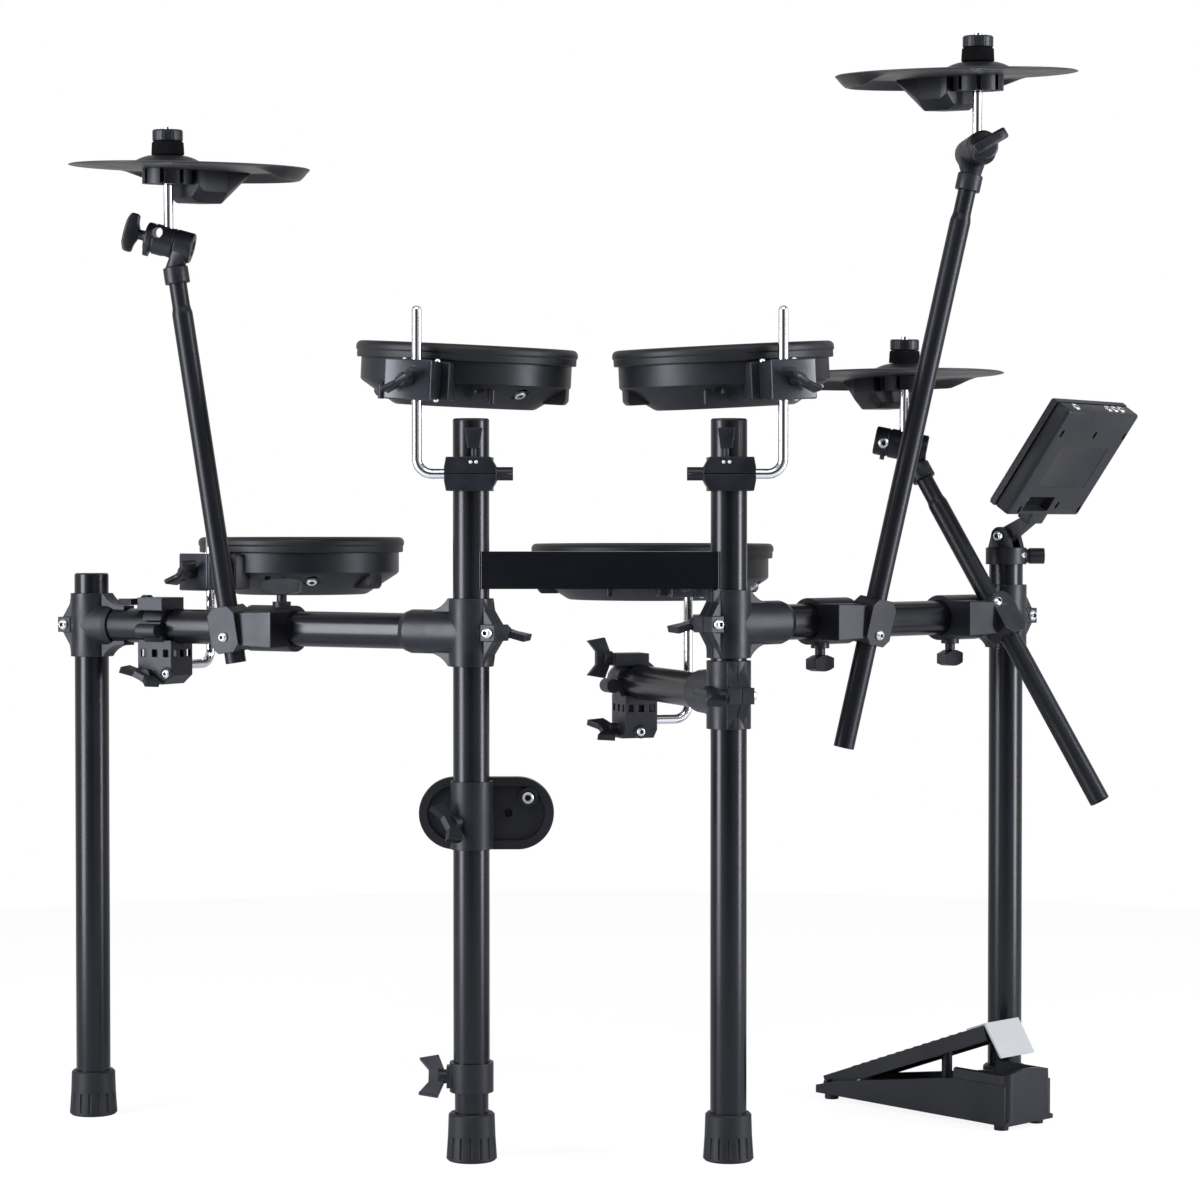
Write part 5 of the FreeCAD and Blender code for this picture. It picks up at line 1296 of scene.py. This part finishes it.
        # Body, arm's direction, and the bolt's distances from the clamp's middle along and across the boom
        bolts = {
            "ride": ("ride_wing", RIDE_DIRECTION, -7.5 * MM, 0),
            "crash": ("hihat_wing", HIHAT_DIRECTION, -13 * MM, 0),
            "hihat": ("hihat_wing", HIHAT_DIRECTION, 14 * MM, 10 * MM),
        }
        body, arm, along, across = bolts[name]
        depth = 15 * MM
        front = slide.cross(arm).normalized()
        if front.y > 0:
            front = -front
        middle = top - slide * (BOOM_LENGTHS[name] - BOOM_BELOW_CLAMP[name])
        seat = middle + front * depth + slide * along + front.cross(slide) * across
        socket_screw(name + "_boom_clamp_bolt", body, frame_at(seat, front, slide), diameter=11 * MM,
                     height=4.5 * MM)


class DRUMKIT_OT_kick(bpy.types.Operator):
    """Finish the kick pad"""
    bl_idname = "drumkit.kick"
    bl_label = "Kick pad"

    def execute(self, context):
        dress(moulded_abs(), "kick_mount")
        dress(moulded_rubber(), "kick_pad")
        height = 362 * MM
        socket_spot = RIDE_INNER + Vector((59 * MM, 11.75 * MM, height + 17 * MM))
        socket = frame_at(socket_spot, AUDIENCE, UP)
        jack_socket("kick_socket_%s", "kick", socket, radii_mm=(3.3, 5.9), heights_mm=(3.6, 5.4, 4.4),
                    plug_material=wool_felt())
        hole_r = 4.4 * MM
        hole = frame_at(RIDE_INNER + Vector((38 * MM, 21.75 * MM, height)), AUDIENCE, UP)
        rim = plain_ring(hole_r, 5.6 * MM, 0, 1 * MM)
        new_piece("kick_hole_rim", rim, moulded_abs(), "kick", hole)
        # A black felt disc inside the rim is painted shade: it stands in for the dark inside of the hole
        hole_shade = disc(hole_r, 0.1 * MM, 0.3 * MM)
        new_piece("kick_hole", hole_shade, wool_felt(), "kick", hole)
        return {"FINISHED"}


class DRUMKIT_OT_module(bpy.types.Operator):
    """Build the sound module's rear case, and finish its front and its holder"""
    bl_idname = "drumkit.module"
    bl_label = "Sound module"

    def execute(self, context):
        dress(module_abs(), "module_front_panel")
        dress(silicone_keys(), "module_keys")
        dress(glass_filled_nylon(), "module_holder")
        pivot = joint_point("module_tilt")
        across = joint_axis("module_tilt")
        normal = joint_axis("dial_turn")
        upward = normal.cross(across)
        place = frame_at(pivot + upward * HINGE_DROP - normal * HINGE_DEPTH, normal, across)
        self.add_case(place)
        self.add_tongue(place)
        self.add_sockets(place)
        self.add_front(place, normal)
        self.add_holder_screws(pivot, across)
        return {"FINISHED"}

    def add_case(self, place):
        """Rear case with wall-hook slots, a cable opening and a sunk plain panel."""
        half = 81 * MM
        outside = -5 * MM
        case = rounded_block((-half, half), (0, CASE_HEIGHT), (0, 19.9 * MM), 3.5 * MM)
        opening = rounded_block((-3 * MM, 55 * MM), (6 * MM, 25 * MM), (outside, 11 * MM), 1.5 * MM)
        panel = rounded_block((-55 * MM, 52 * MM), (38 * MM, 92 * MM), (outside, 0.5 * MM), 0.2 * MM)
        slots = []
        # Middles of the slots in mm, across the case and up from its lower edge
        for x, y in ((70, 109), (-5, 109), (-74, 109), (61, 8), (-18, 14), (-74, 9)):
            sides = ((x - 2.5) * MM, (x + 2.5) * MM)
            ends = ((y - 4.5) * MM, (y + 4.5) * MM)
            slots.append(rounded_block(sides, ends, (outside, 6 * MM), 1.6 * MM))
        shape = carved(case, *slots, opening, panel)
        piece = new_piece("module_case", shape, module_abs(), "module", place)
        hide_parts("module_rear_case")
        # A black felt slab on the cable opening's floor is painted shade: it darkens the inside of the
        # opening
        opening_shade = rounded_block((-2.5 * MM, 54.5 * MM), (6.5 * MM, 24.5 * MM), (10.2 * MM, 11.2 * MM),
                               0.3 * MM)
        new_piece("module_opening_painted_shade", opening_shade, wool_felt(), "module", place)
        stud = frame_at((38 * MM, 16 * MM, 11 * MM), (0, 0, -1), (1, 0, 0))
        socket_screw("module_opening_screw", "module", place @ stud, diameter=6 * MM, height=3 * MM)

    def add_tongue(self, place):
        """Tilt tongue: block under the case, and a round lug between the holder's cheeks."""
        block = rounded_block((-17 * MM, 17 * MM), (-14 * MM, 2 * MM), (3 * MM, 19 * MM), 1.5 * MM)
        new_piece("module_tongue_block", block, module_abs(), "module", place)
        lug_r = 9 * MM
        half = 8 * MM
        lug = frame_at((0, -HINGE_DROP, HINGE_DEPTH), (1, 0, 0), UP)
        points = circle_points(lug, lug_r, -half) + circle_points(lug, lug_r, half)
        points += [Vector((x, -13 * MM, z)) for x in (-half, half) for z in (5 * MM, 17 * MM)]
        new_piece("module_tongue", wrapped(points), module_abs(), "module", place)

    def add_sockets(self, place):
        """Row of sockets in the case's upper edge."""
        for index, x in enumerate((55, -20, -35, -50)):
            spot = place @ frame_at((x * MM, CASE_HEIGHT, 10 * MM), (0, 1, 0), (1, 0, 0))
            names = "module_socket_%s_" + str(index + 1)
            jack_socket(names, "module", spot, radii_mm=(3.2, 5.5), heights_mm=(-2, 1.4, 0.4),
                        plug_material=moulded_rubber())

    def add_front(self, place, normal):
        """Window in its recess, and the dial with its pointer line."""
        window = rounded_block((-15.9 * MM, 29.5 * MM), (85.9 * MM, 103.3 * MM), (27.6 * MM, 28.7 * MM),
                               0.4 * MM)
        new_piece("module_window", window, display_window(), "module", place)
        hub = frame_at(joint_point("dial_turn"), normal, joint_axis("module_tilt"))
        top = 6.5 * MM
        dial = ribbed_bar(15 * MM, rib=0.8 * MM, count=20, low=1 * MM, high=top, edge=1 * MM)
        knob = new_piece("dial_knob", dial, silicone_keys(), "dial", hub)
        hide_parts("module_dial")
        line = rounded_block((-0.9 * MM, 0.9 * MM), (4 * MM, 13 * MM), (top - 0.4 * MM, top + 0.3 * MM),
                             0.2 * MM)
        new_piece("dial_pointer", line, zinc_plated_steel(), "dial", hub)

    def add_holder_screws(self, pivot, across):
        """Hinge screw in the near cheek, and the clamping screw in the holder's collar."""
        cheek = frame_at(pivot + across * 18.3 * MM, across, UP)
        socket_screw("module_hinge_screw", "module_post", cheek, diameter=11 * MM, height=4 * MM)
        angle = math.radians(-42)
        facing = Vector((math.cos(angle), math.sin(angle), 0))
        leg = Vector((HIHAT_OUTER.x, HIHAT_OUTER.y, 631 * MM))
        collar = frame_at(leg + facing * 23 * MM, facing, UP)
        socket_screw("module_holder_screw", "module_post", collar, diameter=7 * MM, height=3 * MM)


class DRUMKIT_OT_pedal(bpy.types.Operator):
    """Finish the hi-hat pedal"""
    bl_idname = "drumkit.pedal"
    bl_label = "Hi-hat pedal"

    def execute(self, context):
        dress(moulded_abs(), "pedal_base", "pedal_footboard")
        dress(moulded_rubber(), "pedal_bumper")
        dress(brushed_aluminium(), "pedal_toe_plate")
        hinge = joint_point("pedal_press")
        toe = joint_axis("pedal_press").cross(UP)
        slope = math.radians(20)
        along = toe * math.cos(slope) + UP * math.sin(slope)
        upright = UP * math.cos(slope) - toe * math.sin(slope)
        board = frame_at(hinge, upright, along)
        top = 9 * MM
        heights = (top - 1 * MM, top + 1.2 * MM)
        half = 24 * MM
        width = 4 * MM
        ribs = []
        for index in range(13):
            start = (34 + 14 * index) * MM
            ribs.append(rounded_block((start, start + width), (-half, half), heights, 0.6 * MM))
        new_piece("pedal_grip", joined(*ribs), moulded_rubber(), "pedal_board", board)
        return {"FINISHED"}


class DRUMKIT_OT_stage(bpy.types.Operator):
    """Set up the floor, the soft studio light and the camera"""
    bl_idname = "drumkit.stage"
    bl_label = "Stage"

    def execute(self, context):
        self.make_floor()
        self.make_world()
        self.make_lights()
        self.make_camera()
        context.scene.view_settings.view_transform = "Standard"
        return {"FINISHED"}

    def make_floor(self):
        radius = 2.1
        below_feet = 0.2 * MM
        glow_share = 0.8
        shape = bmesh.new()
        points = circle_points(Matrix.Translation((0, 0, -below_feet)), radius, steps=96)
        shape.faces.new([shape.verts.new(point) for point in points])
        mesh = bpy.data.meshes.new("studio_floor")
        shape.to_mesh(mesh)
        shape.free()
        floor = bpy.data.objects.new("studio_floor", mesh)
        bpy.context.scene.collection.objects.link(floor)
        material, tree = start_material("white_paper")[:2]
        paper = add_node(tree, "BsdfDiffuse", {"Color": (0.8, 0.8, 0.8, 1)})
        glow = add_node(tree, "Emission", {"Color": (1, 1, 1, 1), "Strength": 1.12})
        rays = add_node(tree, "LightPath")
        seen = add_node(tree, "Math", {0: rays.outputs["Is Camera Ray"], 1: glow_share}, operation="MULTIPLY")
        mixed = add_node(tree, "MixShader", {
            0: seen.outputs["Value"], 1: paper.outputs["BSDF"], 2: glow.outputs["Emission"]})
        add_node(tree, "OutputMaterial", {"Surface": mixed.outputs["Shader"]})
        mesh.materials.append(material)

    def make_world(self):
        world = bpy.data.worlds.new("studio_world")
        bpy.context.scene.world = world
        world.use_nodes = True
        tree = world.node_tree
        tree.nodes.clear()
        direction = add_node(tree, "TexCoord").outputs["Generated"]
        away = add_node(tree, "SeparateXYZ", {"Vector": direction}).outputs["Y"]
        side = remap(tree, away, (-0.985, -0.88), (0.03, 0.5))
        back = remap(tree, away, (0.5, 0.94), (0.0, 0.25))
        mirrored = add_node(tree, "Math", {0: side, 1: back}, operation="ADD").outputs["Value"]
        rays = add_node(tree, "LightPath").outputs
        lit = add_node(tree, "Mix", {
            "Factor": rays["Is Glossy Ray"], "A": 0.26, "B": mirrored}, data_type="FLOAT")
        direct = add_node(tree, "Math", {
            0: rays["Is Camera Ray"], 1: rays["Is Transmission Ray"]}, operation="MAXIMUM")
        strength = add_node(tree, "Mix", {
            "Factor": direct.outputs["Value"], "A": lit.outputs["Result"], "B": 1.0}, data_type="FLOAT")
        sky = add_node(tree, "Background", {"Color": (1, 1, 1, 1), "Strength": strength.outputs["Result"]})
        add_node(tree, "OutputWorld", {"Surface": sky.outputs["Background"]})

    def make_lights(self):
        """Tall strips at both sides for the streaks on the tubes, and a soft box high in front."""
        middle = RACK_MIDDLE + UP * 0.65
        boxes = {
            "left_strip": (Vector((-2.2, -1.0, 0.1)), (0.9, 2.4), 95),
            "right_strip": (Vector((2.3, -0.6, 0.1)), (0.6, 2.4), 82),
            "top_soft_box": (Vector((0.0, -1.6, 2.1)), (2.2, 1.0), 30),
        }
        for name, (offset, size, power) in boxes.items():
            light = bpy.data.lights.new(name, "AREA")
            light.shape = "RECTANGLE"
            light.size, light.size_y = size
            light.energy = power
            light.color = (0.88, 0.91, 1.0)
            lamp = bpy.data.objects.new(name, light)
            lamp.location = middle + offset
            lamp.rotation_euler = (-offset).to_track_quat("-Z", "Y").to_euler()
            bpy.context.scene.collection.objects.link(lamp)

    def make_camera(self):
        s = sizes()
        data = bpy.data.cameras.new("audience_camera")
        data.lens = s.lens
        data.sensor_width = 36
        data.clip_end = 50
        camera = bpy.data.objects.new("audience_camera", data)
        camera.location = RACK_MIDDLE + Vector((0, -s.camera_distance, s.camera_height))
        camera.rotation_euler = (math.pi / 2 - s.camera_pitch, 0, 0)
        bpy.context.scene.collection.objects.link(camera)
        bpy.context.scene.camera = camera


OPERATORS = (DRUMKIT_OT_rack, DRUMKIT_OT_rods, DRUMKIT_OT_pads, DRUMKIT_OT_cymbals, DRUMKIT_OT_stands,
             DRUMKIT_OT_kick, DRUMKIT_OT_module, DRUMKIT_OT_pedal, DRUMKIT_OT_stage)


class DRUMKIT_PT_panel(bpy.types.Panel):
    bl_idname = "DRUMKIT_PT_panel"
    bl_label = "Drum Kit"
    bl_space_type = "VIEW_3D"
    bl_region_type = "UI"
    bl_category = "Drum Kit"

    def draw(self, context):
        for operator in OPERATORS:
            self.layout.operator(operator.bl_idname)
        for group in (colours(), sizes()):
            for name in group.__annotations__:
                self.layout.prop(group, name)


CLASSES = (DrumKitColours, DrumKitSizes, *OPERATORS, DRUMKIT_PT_panel)


def register():
    """Register the classes and the scene's settings."""
    for item in CLASSES:
        bpy.utils.register_class(item)
    bpy.types.Scene.drum_kit_colours = bpy.props.PointerProperty(type=DrumKitColours)
    bpy.types.Scene.drum_kit_sizes = bpy.props.PointerProperty(type=DrumKitSizes)


def unregister():
    """Take the settings and the classes away again."""
    del bpy.types.Scene.drum_kit_sizes
    del bpy.types.Scene.drum_kit_colours
    for item in reversed(CLASSES):
        bpy.utils.unregister_class(item)


def main():
    register()
    for operator in OPERATORS:
        group, name = operator.bl_idname.split(".")
        getattr(getattr(bpy.ops, group), name)()


if __name__ == "__main__":
    main()
